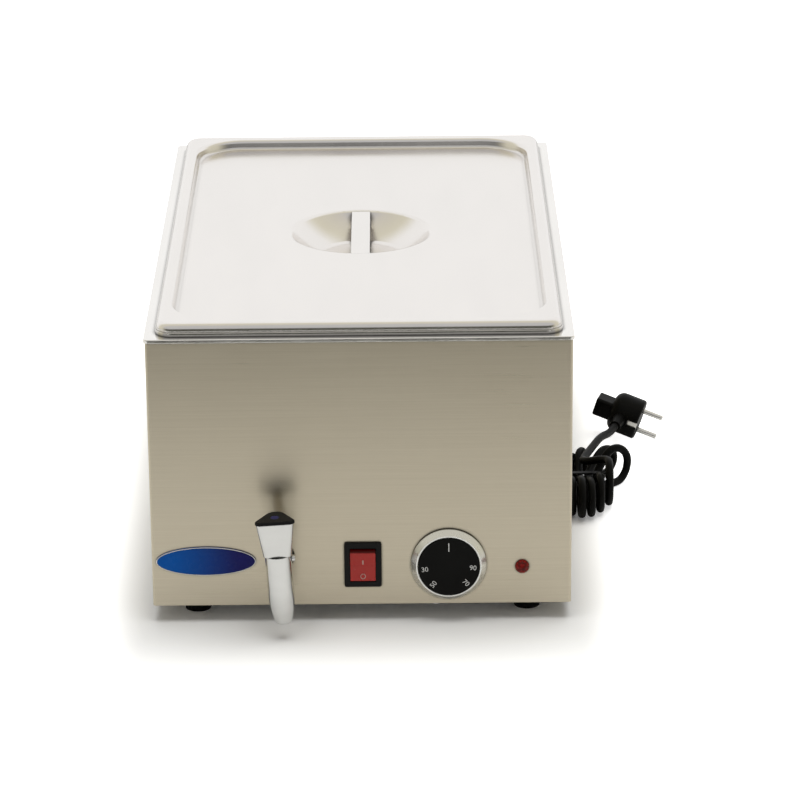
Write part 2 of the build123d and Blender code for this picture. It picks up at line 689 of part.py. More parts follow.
def level_face(piece, height):
    """Flat face of a part at a height."""
    return piece.faces().filter_by(Axis.Z).filter_by_position(Axis.Z, height - FIT, height + FIT)[0]


lid_outside = lid_block(0)
lid_hollow = lid_block(LID_SHEET)
dish_outside = dish_block(LID_SHEET)
dish_inside = dish_block(0)
dish_reach = dish_block(-FIT)
with BuildPart() as lid:
    add(lid_outside)
    add(lid_hollow, mode=Mode.SUBTRACT)
    with BuildSketch(LEVEL.offset(LID_TOP)):
        RectangleRounded(
            RECESS_WIDTH + 2 * LID_SHEET, RECESS_LENGTH + 2 * LID_SHEET, LID_RECESS_CORNER + LID_SHEET
        )
    extrude(amount=-(LID_RECESS + LID_SHEET), taper=LID_RECESS_TAPER)
    add(dish_outside)
    with BuildSketch(LEVEL.offset(LID_TOP)):
        RectangleRounded(RECESS_WIDTH, RECESS_LENGTH, LID_RECESS_CORNER)
    extrude(amount=-LID_RECESS, taper=LID_RECESS_TAPER, mode=Mode.SUBTRACT)
    add(dish_inside, mode=Mode.SUBTRACT)
    fillet(level_face(lid, LID_TOP - LID_SHEET).inner_wires()[0].edges(), LID_BEND - LID_SHEET)
    fillet(level_face(lid, LID_PANEL - LID_SHEET).outer_wire().edges(), LID_BEND)
    fillet(level_face(lid, LID_TOP).inner_wires()[0].edges(), LID_BEND)
    fillet(level_face(lid, LID_PANEL).outer_wire().edges(), LID_BEND - LID_SHEET)
    fillet(level_face(lid, LID_PANEL).inner_wires()[0].edges(), DISH_LIP_ROUND)
save(lid, "lid")

# Strap handle across the dish, its legs turned down onto the dish wall
STRAP_TOP = LID_PANEL - STRAP_DROP
STRAP_SECTION = Plane(origin=(0, CASING_Y, 0), x_dir=(0, 1, 0), z_dir=(1, 0, 0))
with BuildPart() as lid_handle:
    with BuildSketch(STRAP_SECTION):
        with Locations((0, STRAP_TOP - STRAP_LEG / 2)):
            Rectangle(DISH_DIAMETER, STRAP_LEG)
        with Locations((0, STRAP_TOP - STRAP_THICKNESS - STRAP_LEG / 2)):
            Rectangle(DISH_DIAMETER - 4 * STRAP_LEG, STRAP_LEG, mode=Mode.SUBTRACT)
    extrude(amount=STRAP_WIDTH / 2, both=True)
    add(dish_reach, mode=Mode.INTERSECT)
save(lid_handle, "lid_handle")

# Rocker switch housing: framed front, body through the sheet, open cavity for the rocker
OPENING_WIDTH = ROCKER_WIDTH + 2 * FIT
PIVOT_SPOT = (SWITCH_X, FRONT_Y + ROCKER_PIVOT_DEPTH, CONTROL_Z)
PIVOT = Plane(origin=PIVOT_SPOT, x_dir=(0, 1, 0), z_dir=(1, 0, 0))
with BuildPart() as switch_housing:
    with BuildSketch(FRONT):
        with Locations((SWITCH_X, CONTROL_Z)):
            RectangleRounded(BEZEL_WIDTH, BEZEL_HEIGHT, BEZEL_CORNER)
    extrude(amount=BEZEL_THICKNESS)
    chamfer(switch_housing.faces().sort_by(Axis.Y)[0].edges(), BEZEL_CORNER / 2)
    with BuildSketch(FRONT):
        with Locations((SWITCH_X, CONTROL_Z)):
            Rectangle(HOUSING_WIDTH, HOUSING_HEIGHT)
    extrude(amount=-HOUSING_DEPTH)
    with BuildSketch(FRONT.offset(BEZEL_THICKNESS)):
        with Locations((SWITCH_X, CONTROL_Z)):
            Rectangle(OPENING_WIDTH, OPENING_HEIGHT)
    extrude(amount=-BEZEL_THICKNESS - HOUSING_CAVITY, mode=Mode.SUBTRACT)
    with BuildSketch(PIVOT):
        Circle(ROCKER_PIN_DIAMETER / 2 + SHAFT_CLEAR)
    extrude(amount=HOUSING_WIDTH / 2, both=True, mode=Mode.SUBTRACT)
save(switch_housing, "switch_housing")

with BuildPart() as switch_terminals:
    with BuildSketch(FRONT.offset(-HOUSING_DEPTH)):
        with Locations((SWITCH_X, CONTROL_Z)):
            with GridLocations(BLADE_PITCH_X, BLADE_PITCH_Z, 2, 2):
                Rectangle(BLADE_THICKNESS, BLADE_WIDTH)
    extrude(amount=-BLADE_LENGTH)
save(switch_terminals, "switch_terminals")

# Rocker in the off position: lower half level with the frame, upper half standing out, ends round the pivot
ROCKER_SECTION = Plane(origin=PIVOT_SPOT, x_dir=(0, 0, 1), z_dir=(1, 0, 0))
half_tilt = radians(ROCKER_TILT / 2)
face_angle = half_tilt + asin(ROCKER_RIDGE * cos(half_tilt) / ROCKER_RADIUS)
keel_angle = radians(ROCKER_KEEL_ANGLE)


def rocker_spot(radius, angle):
    """Point of the rocker section at a radius and angle about the pivot, in the off position."""
    return (radius * cos(angle + half_tilt), radius * sin(angle + half_tilt))


with BuildPart() as rocker:
    with BuildSketch(ROCKER_SECTION):
        with BuildLine():
            Polyline(
                rocker_spot(ROCKER_RADIUS, pi - face_angle),
                rocker_spot(ROCKER_RIDGE, pi / 2),
                rocker_spot(ROCKER_RADIUS, face_angle),
            )
            ThreePointArc(
                rocker_spot(ROCKER_RADIUS, face_angle),
                rocker_spot(ROCKER_RADIUS, face_angle / 2),
                rocker_spot(ROCKER_RADIUS, 0),
            )
            Polyline(
                rocker_spot(ROCKER_RADIUS, 0),
                rocker_spot(ROCKER_KEEL_RADIUS, -keel_angle),
                rocker_spot(ROCKER_KEEL_RADIUS, keel_angle - pi),
                rocker_spot(ROCKER_RADIUS, pi),
            )
            ThreePointArc(
                rocker_spot(ROCKER_RADIUS, pi),
                rocker_spot(ROCKER_RADIUS, pi - face_angle / 2),
                rocker_spot(ROCKER_RADIUS, pi - face_angle),
            )
        make_face()
    extrude(amount=ROCKER_WIDTH / 2, both=True)
    with BuildSketch(PIVOT):
        Circle(ROCKER_PIN_DIAMETER / 2)
    extrude(amount=ROCKER_WIDTH / 2 + FIT + ROCKER_PIN_LENGTH, both=True)
save(rocker, "rocker")

# Thermostat knob: hollow chrome skirt, black dial with hub, spindle
SKIRT_TOP = KNOB_GAP + SKIRT_HEIGHT
DIAL_TOP = SKIRT_TOP + DIAL_PROUD
DIAL_LOW = DIAL_TOP - DIAL_THICKNESS
KNOB_AXIS = Axis((KNOB_X, FRONT_Y, CONTROL_Z), (0, -1, 0))
KNOB_SECTION = Plane(origin=(KNOB_X, FRONT_Y, CONTROL_Z), x_dir=(1, 0, 0), z_dir=(0, 0, 1))
with BuildPart() as knob_skirt:
    with BuildSketch(KNOB_SECTION):
        with BuildLine():
            Polyline(
                (SKIRT_DIAMETER / 2 - SKIRT_WALL, -KNOB_GAP),
                (SKIRT_DIAMETER / 2, -KNOB_GAP),
                (SKIRT_DIAMETER / 2, -KNOB_GAP - SKIRT_WALL),
                (SKIRT_TOP_DIAMETER / 2, -SKIRT_TOP),
                (DIAL_DIAMETER / 2 + FIT, -SKIRT_TOP),
                (DIAL_DIAMETER / 2 + FIT, -DIAL_LOW),
                close=True,
            )
        make_face()
    revolve(axis=KNOB_AXIS)
save(knob_skirt, "knob_skirt")

SPINDLE_TIP = HUB_GAP + SPINDLE_GRIP
with BuildPart() as knob_dial:
    with BuildSketch(FRONT.offset(DIAL_LOW)):
        with Locations((KNOB_X, CONTROL_Z)):
            Circle(DIAL_DIAMETER / 2)
    extrude(amount=DIAL_THICKNESS)
    fillet(knob_dial.faces().sort_by(Axis.Y)[0].edges(), DIAL_ROUND)
    with BuildSketch(FRONT.offset(HUB_GAP)):
        with Locations((KNOB_X, CONTROL_Z)):
            Circle(HUB_DIAMETER / 2)
    extrude(amount=DIAL_LOW - HUB_GAP)
    with BuildSketch(FRONT.offset(HUB_GAP)):
        with Locations((KNOB_X, CONTROL_Z)):
            Circle(SPINDLE_DIAMETER / 2 + SHAFT_CLEAR)
    extrude(amount=SPINDLE_GRIP, mode=Mode.SUBTRACT)
save(knob_dial, "knob_dial")

with BuildPart() as knob_spindle:
    with BuildSketch(FRONT.offset(-CASING_SHEET - SPINDLE_SEAT)):
        with Locations((KNOB_X, CONTROL_Z)):
            Circle(SPINDLE_DIAMETER / 2)
    extrude(amount=CASING_SHEET + SPINDLE_SEAT + SPINDLE_TIP)
save(knob_spindle, "knob_spindle")

# Thermostat body behind the front sheet, held by two screws under the knob
STAT_BACK_Y = INSIDE_FRONT_Y + STAT_DEPTH
with BuildPart() as thermostat_body:
    with BuildSketch(FRONT.offset(-CASING_SHEET)):
        with Locations((KNOB_X, CONTROL_Z)):
            RectangleRounded(STAT_WIDTH, STAT_HEIGHT, BEZEL_CORNER)
    extrude(amount=-STAT_DEPTH)
    with BuildSketch(FRONT.offset(-CASING_SHEET)):
        with Locations((KNOB_X, CONTROL_Z)):
            Circle(SPINDLE_DIAMETER / 2 + SHAFT_CLEAR)
    extrude(amount=-SPINDLE_SEAT - FIT, mode=Mode.SUBTRACT)
    with BuildSketch(FRONT.offset(-CASING_SHEET)):
        with Locations((KNOB_X, CONTROL_Z)):
            with GridLocations(STAT_SCREW_PITCH, 1, 2, 1):
                Circle(STAT_SCREW_DIAMETER / 2 + SHAFT_CLEAR)
    extrude(amount=-STAT_SCREW_LENGTH - FIT, mode=Mode.SUBTRACT)
save(thermostat_body, "thermostat_body")

with BuildPart() as thermostat_screws:
    with BuildSketch(FRONT):
        with Locations((KNOB_X, CONTROL_Z)):
            with GridLocations(STAT_SCREW_PITCH, 1, 2, 1):
                Circle(STAT_HEAD_DIAMETER / 2)
    extrude(amount=STAT_HEAD_HEIGHT)
    with BuildSketch(FRONT):
        with Locations((KNOB_X, CONTROL_Z)):
            with GridLocations(STAT_SCREW_PITCH, 1, 2, 1):
                Circle(STAT_SCREW_DIAMETER / 2)
    extrude(amount=-CASING_SHEET - STAT_SCREW_LENGTH)
save(thermostat_screws, "thermostat_screws")

# Sensor bulb lying under the tank, its capillary to the thermostat, and the clip that holds it
BULB_SPOT_Y = FRONT_Y + BULB_Y
BULB_Z = TANK_BOTTOM - ELEMENT_GAP - BULB_DIAMETER / 2
CAPILLARY_Z = CONTROL_Z + STAT_HEIGHT / 4
capillary_points = [
    (KNOB_X, STAT_BACK_Y, CAPILLARY_Z),
    (KNOB_X, STAT_BACK_Y + CAPILLARY_LEAD, CAPILLARY_Z),
    (KNOB_X - CAPILLARY_LEAD / 2, BULB_SPOT_Y, BULB_Z),
    (BULB_LENGTH / 2, BULB_SPOT_Y, BULB_Z),
]
capillary_tube = tube(route(capillary_points, CAPILLARY_BEND), CAPILLARY_DIAMETER)
with BuildPart() as capillary_bulb:
    with BuildSketch(Plane(origin=(-BULB_LENGTH / 2, BULB_SPOT_Y, BULB_Z), x_dir=(0, 1, 0), z_dir=(1, 0, 0))):
        Circle(BULB_DIAMETER / 2)
    extrude(amount=BULB_LENGTH)
    fillet(capillary_bulb.edges().filter_by(GeomType.CIRCLE), BULB_DIAMETER / 4)
    add(capillary_tube.part)
save(capillary_bulb, "capillary_bulb")

CLIP_INNER = BULB_DIAMETER / 2 + ELEMENT_GAP
with BuildPart() as bulb_clip:
    with BuildSketch(Plane(origin=(0, BULB_SPOT_Y, TANK_BOTTOM), x_dir=(0, 1, 0), z_dir=(1, 0, 0))):
        with Locations((0, -CLIP_INNER)):
            Rectangle(2 * CLIP_INNER + 2 * CLIP_THICKNESS, 2 * CLIP_INNER)
        with Locations((0, -2 * CLIP_INNER)):
            Rectangle(2 * CLIP_INNER + 2 * CLIP_THICKNESS, 2 * CLIP_THICKNESS)
        with Locations((0, -CLIP_THICKNESS / 2)):
            Rectangle(2 * CLIP_INNER + 2 * CLIP_WIDTH, CLIP_THICKNESS)
        with Locations((0, -CLIP_INNER)):
            Rectangle(2 * CLIP_INNER, 2 * CLIP_INNER, mode=Mode.SUBTRACT)
    extrude(amount=CLIP_WIDTH / 2, both=True)
save(bulb_clip, "bulb_clip")

with BuildPart() as overheat_cutout:
    with BuildSketch(Plane(origin=(CUTOUT_X, FRONT_Y + CUTOUT_Y, TANK_BOTTOM))):
        Circle(CUTOUT_DIAMETER / 2)
    extrude(amount=-CUTOUT_HEIGHT)
    with BuildSketch(Plane(origin=(CUTOUT_X, FRONT_Y + CUTOUT_Y, TANK_BOTTOM - CUTOUT_HEIGHT))):
        with GridLocations(CUTOUT_DIAMETER / 2, 1, 2, 1):
            Rectangle(BLADE_THICKNESS, BLADE_WIDTH)
    extrude(amount=-BLADE_LENGTH)
save(overheat_cutout, "overheat_cutout")

# Pilot lamp: domed lens with a stem through the sheet, body and nut behind
LAMP_SPOT = (LAMP_X, FRONT_Y, LAMP_Z)
LAMP_AXIS = Axis(LAMP_SPOT, (0, -1, 0))
LAMP_RADIUS = LAMP_DIAMETER / 2
DOME_RADIUS = (LAMP_RADIUS**2 + LAMP_DOME**2) / (2 * LAMP_DOME)
DOME_CENTRE = DOME_RADIUS - LAMP_RIM - LAMP_DOME
DOME_HALF = asin(LAMP_RADIUS / DOME_RADIUS) / 2
with BuildPart() as lamp_lens:
    with BuildSketch(Plane(origin=LAMP_SPOT, x_dir=(1, 0, 0), z_dir=(0, 0, 1))):
        with BuildLine():
            Polyline(
                (0, LAMP_STEM),
                (LAMP_STEM_DIAMETER / 2, LAMP_STEM),
                (LAMP_STEM_DIAMETER / 2, 0),
                (LAMP_RADIUS, 0),
                (LAMP_RADIUS, -LAMP_RIM),
            )
            ThreePointArc(
                (LAMP_RADIUS, -LAMP_RIM),
                (DOME_RADIUS * sin(DOME_HALF), DOME_CENTRE - DOME_RADIUS * cos(DOME_HALF)),
                (0, -LAMP_RIM - LAMP_DOME),
            )
            Line((0, -LAMP_RIM - LAMP_DOME), (0, LAMP_STEM))
        make_face()
    revolve(axis=LAMP_AXIS)
save(lamp_lens, "lamp_lens")

with BuildPart() as lamp_body:
    with BuildSketch(FRONT.offset(-LAMP_STEM)):
        with Locations((LAMP_X, LAMP_Z)):
            Circle(LAMP_STEM_DIAMETER / 2)
    extrude(amount=-LAMP_BODY_LENGTH)
save(lamp_body, "lamp_body")

with BuildPart() as lamp_nut:
    with BuildSketch(FRONT.offset(-CASING_SHEET)):
        with Locations((LAMP_X, LAMP_Z)):
            RegularPolygon(LAMP_NUT_DIAMETER / 2, 6)
            Circle(LAMP_STEM_DIAMETER / 2 + SHAFT_CLEAR, mode=Mode.SUBTRACT)
    extrude(amount=-LAMP_NUT_HEIGHT)
save(lamp_nut, "lamp_nut")

# Blank oval plate on the front
with BuildPart() as name_plate:
    with BuildSketch(FRONT):
        with Locations((BADGE_X, BADGE_Z)):
            Ellipse(BADGE_LENGTH / 2, BADGE_HEIGHT / 2)
    extrude(amount=BADGE_THICKNESS)
    chamfer(name_plate.faces().sort_by(Axis.Y)[0].edges(), BADGE_THICKNESS / 2)
save(name_plate, "name_plate")

# Drain tap body: bullet spout, inlet stem with collar, thread and hose tail
COLLAR_FRONT = TAP_OFFSET - SEAL_THICKNESS - COLLAR_THICKNESS
COLLAR_BACK = TAP_OFFSET - SEAL_THICKNESS
THREAD_END = TAP_OFFSET + CASING_SHEET + LOCK_NUT_HEIGHT + HOSE_GAP
TAIL_END = THREAD_END + TAIL_LENGTH
TAP_SECTION = Plane(origin=TAP.origin, x_dir=TAP.x_dir, z_dir=(0, -1, 0))
TAP_INLET = Plane(origin=TAP.origin, x_dir=TAP.x_dir, z_dir=(0, 1, 0))
TAP_AXIS = Axis(TAP.origin, TAP.z_dir)
BULGE_R = (BARREL_RADIUS + SPOUT_TIP_RADIUS) / 2 + SPOUT_BULGE
BULGE_Z = -(SPOUT_SHOULDER + TAP_TIP) / 2
STOP = Plane(origin=TAP.from_local_coords((BARREL_RADIUS, 0, TAP_JOINT - STOP_DROP)), z_dir=TAP.x_dir)
with BuildPart() as tap_body:
    with BuildSketch(TAP_SECTION):
        with BuildLine():
            Polyline(
                (0, -TAP_TIP),
                (0, TAP_JOINT),
                (BARREL_RADIUS, TAP_JOINT),
                (BARREL_RADIUS, -SPOUT_SHOULDER),
            )
            ThreePointArc((BARREL_RADIUS, -SPOUT_SHOULDER), (BULGE_R, BULGE_Z), (SPOUT_TIP_RADIUS, -TAP_TIP))
            Line((SPOUT_TIP_RADIUS, -TAP_TIP), (0, -TAP_TIP))
        make_face()
    revolve(axis=TAP_AXIS)
    with BuildSketch(TAP_INLET):
        Circle(STEM_DIAMETER / 2)
    extrude(amount=COLLAR_BACK)
    with BuildSketch(TAP_INLET.offset(COLLAR_FRONT)):
        Circle(COLLAR_DIAMETER / 2)
    extrude(amount=COLLAR_THICKNESS)
    with BuildSketch(TAP_INLET.offset(COLLAR_BACK)):
        Circle(THREAD_DIAMETER / 2)
    extrude(amount=THREAD_END - COLLAR_BACK)
    with BuildSketch(TAP_INLET.offset(THREAD_END)):
        Circle(DRAIN_DIAMETER / 2)
    extrude(amount=TAIL_LENGTH)
    with BuildSketch(TAP_INLET):
        Circle(WATERWAY_DIAMETER / 2)
    extrude(amount=TAIL_END, mode=Mode.SUBTRACT)
    with BuildSketch(TAP.offset(-TAP_TIP)):
        Circle(WATERWAY_DIAMETER / 2)
    extrude(amount=TAP_TIP + VALVE_LOW, mode=Mode.SUBTRACT)
    with BuildSketch(TAP.offset(-TAP_TIP)):
        Circle(OUTLET_DIAMETER / 2)
    extrude(amount=OUTLET_DEPTH, mode=Mode.SUBTRACT)
    with BuildSketch(TAP.offset(VALVE_LOW)):
        Circle(VALVE_DIAMETER / 2 + SHAFT_CLEAR)
    extrude(amount=TAP_JOINT - VALVE_LOW, mode=Mode.SUBTRACT)
    with BuildSketch(STOP):
        Circle(STOP_SHANK_DIAMETER / 2 + SHAFT_CLEAR)
    extrude(amount=-STOP_SHANK_LENGTH - FIT, mode=Mode.SUBTRACT)
save(tap_body, "tap_body")

with BuildPart() as tap_stop_screw:
    with BuildSketch(STOP.offset(SHAFT_CLEAR)):
        Circle(STOP_HEAD_DIAMETER / 2)
    extrude(amount=STOP_HEAD_LENGTH)
    fillet(tap_stop_screw.faces().sort_by(Axis.X)[-1].edges(), STOP_HEAD_DIAMETER / 5)
    with BuildSketch(STOP.offset(SHAFT_CLEAR)):
        Circle(STOP_SHANK_DIAMETER / 2)
    extrude(amount=-STOP_SHANK_LENGTH)
save(tap_stop_screw, "tap_stop_screw")

with BuildPart() as tap_seal:
    with BuildSketch(FRONT):
        with Locations((TAP_X, TAP_Z)):
            Circle(SEAL_DIAMETER / 2)
            Circle(THREAD_DIAMETER / 2 + SHAFT_CLEAR, mode=Mode.SUBTRACT)
    extrude(amount=SEAL_THICKNESS)
save(tap_seal, "tap_seal")

with BuildPart() as tap_lock_nut:
    with BuildSketch(FRONT.offset(-CASING_SHEET)):
        with Locations((TAP_X, TAP_Z)):
            RegularPolygon(LOCK_NUT_RADIUS, 6)
            Circle(THREAD_DIAMETER / 2 + SHAFT_CLEAR, mode=Mode.SUBTRACT)
    extrude(amount=-LOCK_NUT_HEIGHT)
save(tap_lock_nut, "tap_lock_nut")


def rounded_triangle(inradius, corner, back_corner):
    """Three-sided outline with one flat towards the front, rounder at its back corner."""
    triangle = RegularPolygon(2 * inradius, 3, rotation=90)
    rounded = fillet(triangle.vertices().sort_by(Axis.Y)[-1], back_corner)
    fillet(rounded.vertices().sort_by(Axis.Y)[:2], corner)


# Tap handle, cap, index dot and valve spindle turn together
HANDLE_LOW = TAP_JOINT + HANDLE_GAP
HANDLE_HIGH = HANDLE_LOW + HANDLE_HEIGHT
with BuildPart() as tap_handle:
    with BuildSketch(TAP.offset(HANDLE_LOW)):
        rounded_triangle(HANDLE_BOTTOM_INRADIUS, HANDLE_CORNER, HANDLE_BACK_CORNER)
    with BuildSketch(TAP.offset(HANDLE_HIGH)):
        rounded_triangle(HANDLE_TOP_INRADIUS, HANDLE_CORNER, HANDLE_BACK_CORNER)
    loft()
    with BuildSketch(TAP.offset(HANDLE_LOW)):
        Circle(VALVE_DIAMETER / 2 + SHAFT_CLEAR)
    extrude(amount=VALVE_GRIP, mode=Mode.SUBTRACT)
save(tap_handle, "tap_handle")

with BuildPart() as tap_cap:
    with BuildSketch(TAP.offset(HANDLE_HIGH)):
        rounded_triangle(CAP_INRADIUS, CAP_CORNER, CAP_BACK_CORNER)
    extrude(amount=CAP_THICKNESS)
    fillet(tap_cap.faces().sort_by(TAP_AXIS)[-1].edges(), CAP_ROUND)
    with BuildSketch(TAP.offset(HANDLE_HIGH + CAP_THICKNESS)):
        Circle(DOT_DIAMETER / 2 + SHAFT_CLEAR)
    extrude(amount=-DOT_THICKNESS, mode=Mode.SUBTRACT)
save(tap_cap, "tap_cap")

with BuildPart() as tap_index_dot:
    with BuildSketch(TAP.offset(HANDLE_HIGH + CAP_THICKNESS - DOT_THICKNESS)):
        Circle(DOT_DIAMETER / 2)
    extrude(amount=DOT_THICKNESS)
save(tap_index_dot, "tap_index_dot")

with BuildPart() as tap_spindle:
    with BuildSketch(TAP.offset(VALVE_LOW + FIT)):
        Circle(VALVE_DIAMETER / 2)
    extrude(amount=HANDLE_LOW + VALVE_GRIP - VALVE_LOW - FIT)
save(tap_spindle, "tap_spindle")

# Drain elbow welded under the tank, hose sleeve over elbow and tap tail, two clips
TAIL_END_Y = TAP_Y + TAIL_END
ELBOW_END_Y = TAIL_END_Y + HOSE_GAP
elbow_points = [
    (TAP_X, FRONT_Y + DRAIN_Y, TANK_BOTTOM),
    (TAP_X, FRONT_Y + DRAIN_Y, TAP_Z),
    (TAP_X, ELBOW_END_Y, TAP_Z),
]
with BuildPart() as drain_elbow:
    with BuildLine() as elbow_path:
        FilletPolyline(*elbow_points, radius=DRAIN_BEND)
    with BuildSketch(Plane(origin=elbow_points[0], z_dir=(0, 0, -1))):
        Circle(DRAIN_DIAMETER / 2)
        Circle(DRAIN_DIAMETER / 2 - DRAIN_WALL, mode=Mode.SUBTRACT)
    sweep(path=elbow_path.wires()[0])
save(drain_elbow, "drain_elbow")

HOSE_MIDDLE_Y = TAIL_END_Y + HOSE_GAP / 2
HOSE_AXIS = Plane(origin=(TAP_X, HOSE_MIDDLE_Y, TAP_Z), x_dir=(1, 0, 0), z_dir=(0, 1, 0))
HOSE_RADIUS = DRAIN_DIAMETER / 2 + SHAFT_CLEAR + HOSE_WALL
with BuildPart() as drain_hose:
    with BuildSketch(HOSE_AXIS):
        Circle(HOSE_RADIUS)
        Circle(DRAIN_DIAMETER / 2 + SHAFT_CLEAR, mode=Mode.SUBTRACT)
    extrude(amount=HOSE_LENGTH / 2, both=True)
save(drain_hose, "drain_hose")

with BuildPart() as hose_clips:
    for side in (-1, 1):
        with BuildSketch(HOSE_AXIS.offset(side * HOSE_LENGTH / 4)):
            Circle(HOSE_RADIUS + SHAFT_CLEAR + CLIP_BAND)
            Circle(HOSE_RADIUS + SHAFT_CLEAR, mode=Mode.SUBTRACT)
        extrude(amount=CLIP_BAND_WIDTH / 2, both=True)
save(hose_clips, "hose_clips")

# Heating element: four legs under the tank, both terminal pins towards the front
element_points = [
    (-1.5 * leg, ELEMENT_FRONT_Y, ELEMENT_Z),
    (-1.5 * leg, ELEMENT_REAR_Y, ELEMENT_Z),
    (-0.5 * leg, ELEMENT_REAR_Y, ELEMENT_Z),
    (-0.5 * leg, ELEMENT_INNER_Y, ELEMENT_Z),
    (0.5 * leg, ELEMENT_INNER_Y, ELEMENT_Z),
    (0.5 * leg, ELEMENT_REAR_Y, ELEMENT_Z),
    (1.5 * leg, ELEMENT_REAR_Y, ELEMENT_Z),
    (1.5 * leg, ELEMENT_FRONT_Y, ELEMENT_Z),
]
element_tube = tube(route(element_points, ELEMENT_BEND), ELEMENT_DIAMETER)
with BuildPart() as heating_element:
    add(element_tube.part)
    for side in (-1, 1):
        pin_base = Plane(
            origin=(side * 1.5 * leg, ELEMENT_FRONT_Y, ELEMENT_Z), x_dir=(1, 0, 0), z_dir=(0, -1, 0)
        )
        with BuildSketch(pin_base):
            Circle(PIN_DIAMETER / 2)
        extrude(amount=PIN_LENGTH)
save(heating_element, "heating_element")

# Clamp plate pressing the element to the tank, on the tank's studs with nuts
with BuildPart() as clamp_plate:
    with BuildSketch(PLATE_BASE.offset(PLATE_LOW)):
        RectangleRounded(PLATE_WIDTH, PLATE_LENGTH, PLATE_CORNER)
        with Locations(*stud_spots):
            Circle(STUD_DIAMETER / 2 + FIT, mode=Mode.SUBTRACT)
    extrude(amount=PLATE_SHEET)
save(clamp_plate, "clamp_plate")

with BuildPart() as element_nuts:
    with BuildSketch(PLATE_BASE.offset(PLATE_LOW)):
        with Locations(*stud_spots):
            RegularPolygon(STUD_NUT_RADIUS, 6)
        with Locations(*stud_spots):
            Circle(STUD_DIAMETER / 2 + SHAFT_CLEAR, mode=Mode.SUBTRACT)
    extrude(amount=-STUD_NUT_HEIGHT)
save(element_nuts, "element_nuts")

# Cable gland in the back panel, its nut inside and the tapered strain relief outside
GLAND = Plane(origin=(GLAND_X, BACK_FACE_Y, GLAND_Z), x_dir=(1, 0, 0), z_dir=(0, 1, 0))
CORE_BORE = CORD_DIAMETER / 2
with BuildPart() as cord_gland:
    with BuildSketch(GLAND):
        Circle(GLAND_DIAMETER / 2)
    extrude(amount=GLAND_FLANGE)
    fillet(cord_gland.faces().sort_by(Axis.Y)[-1].edges(), GLAND_FLANGE / 4)
    with BuildSketch(GLAND):
        Circle(GLAND_THREAD_DIAMETER / 2)
    extrude(amount=-GLAND_THREAD_LENGTH)
    with BuildSketch(GLAND.offset(-GLAND_THREAD_LENGTH)):
        Circle(CORE_BORE)
    extrude(amount=GLAND_THREAD_LENGTH, mode=Mode.SUBTRACT)
save(cord_gland, "cord_gland")

with BuildPart() as gland_nut:
    with BuildSketch(GLAND.offset(-BACK_SHEET)):
        RegularPolygon(GLAND_NUT_RADIUS, 6)
        Circle(GLAND_THREAD_DIAMETER / 2 + SHAFT_CLEAR, mode=Mode.SUBTRACT)
    extrude(amount=-GLAND_NUT_HEIGHT)
save(gland_nut, "gland_nut")

BOOT_TIP_Y = BACK_FACE_Y + GLAND_FLANGE + BOOT_LENGTH
with BuildPart() as strain_relief:
    with BuildSketch(GLAND.offset(GLAND_FLANGE)):
        Circle(BOOT_DIAMETER / 2)
    with BuildSketch(GLAND.offset(GLAND_FLANGE + BOOT_LENGTH)):
        Circle(BOOT_TIP_DIAMETER / 2)
    loft()
    with BuildSketch(GLAND.offset(GLAND_FLANGE + BOOT_LENGTH)):
        Circle(CORD_DIAMETER / 2 + SHAFT_CLEAR)
    extrude(amount=-BOOT_GRIP, mode=Mode.SUBTRACT)
save(strain_relief, "strain_relief")

# Terminal block on the bottom plate, supply cores from the gland, earth stud
BLOCK_Y = BACK_INSIDE_Y - BLOCK_SETBACK
BLOCK_REAR_Y = BLOCK_Y + BLOCK_DEPTH / 2
BLOCK_FRONT_Y = BLOCK_Y - BLOCK_DEPTH / 2
CORE_Z = BOTTOM_TOP + BLOCK_HEIGHT / 2
with BuildPart() as terminal_block:
    with BuildSketch(Plane(origin=(GLAND_X, BLOCK_Y, BOTTOM_TOP))):
        RectangleRounded(BLOCK_WIDTH, BLOCK_DEPTH, BLOCK_CORNER)
    extrude(amount=BLOCK_HEIGHT)
    with BuildSketch(Plane(origin=(GLAND_X, BLOCK_Y, BOTTOM_TOP + BLOCK_HEIGHT))):
        with GridLocations(CORE_PITCH, BLOCK_DEPTH / 2, 3, 2):
            Circle(CORE_PITCH / 4)
    extrude(amount=-BLOCK_HEIGHT / 3, mode=Mode.SUBTRACT)
save(terminal_block, "terminal_block")

GLAND_INNER_Y = BACK_FACE_Y - GLAND_THREAD_LENGTH
with BuildPart() as supply_cores:
    for slot in (-1, 0, 1):
        core_x = GLAND_X + slot * CORE_PITCH
        entry_x = GLAND_X + slot * CORE_ENTRY_PITCH
        core_points = [
            (entry_x, GLAND_INNER_Y + CORE_TURN, GLAND_Z),
            (entry_x, GLAND_INNER_Y - CORE_TURN, GLAND_Z),
            (core_x, BLOCK_REAR_Y + 2 * CORE_TURN, CORE_Z),
            (core_x, BLOCK_REAR_Y, CORE_Z),
        ]
        with BuildLine() as core_path:
            FilletPolyline(*core_points, radius=CORE_TURN)
        with BuildSketch(Plane(origin=core_points[0], z_dir=(0, -1, 0))):
            Circle(CORE_DIAMETER / 2)
        sweep(path=core_path.wires()[0])
save(supply_cores, "supply_cores")

EARTH_SPOT = (GLAND_X - EARTH_STUD_OFFSET, BLOCK_Y, BOTTOM_TOP)
with BuildPart() as earth_stud:
    with BuildSketch(Plane(origin=EARTH_SPOT)):
        Circle(EARTH_STUD_DIAMETER / 2)
    extrude(amount=EARTH_STUD_LENGTH)
    with BuildSketch(Plane(origin=EARTH_SPOT)):
        RegularPolygon(EARTH_STUD_DIAMETER, 6)
    extrude(amount=EARTH_STUD_LENGTH / 3)
save(earth_stud, "earth_stud")

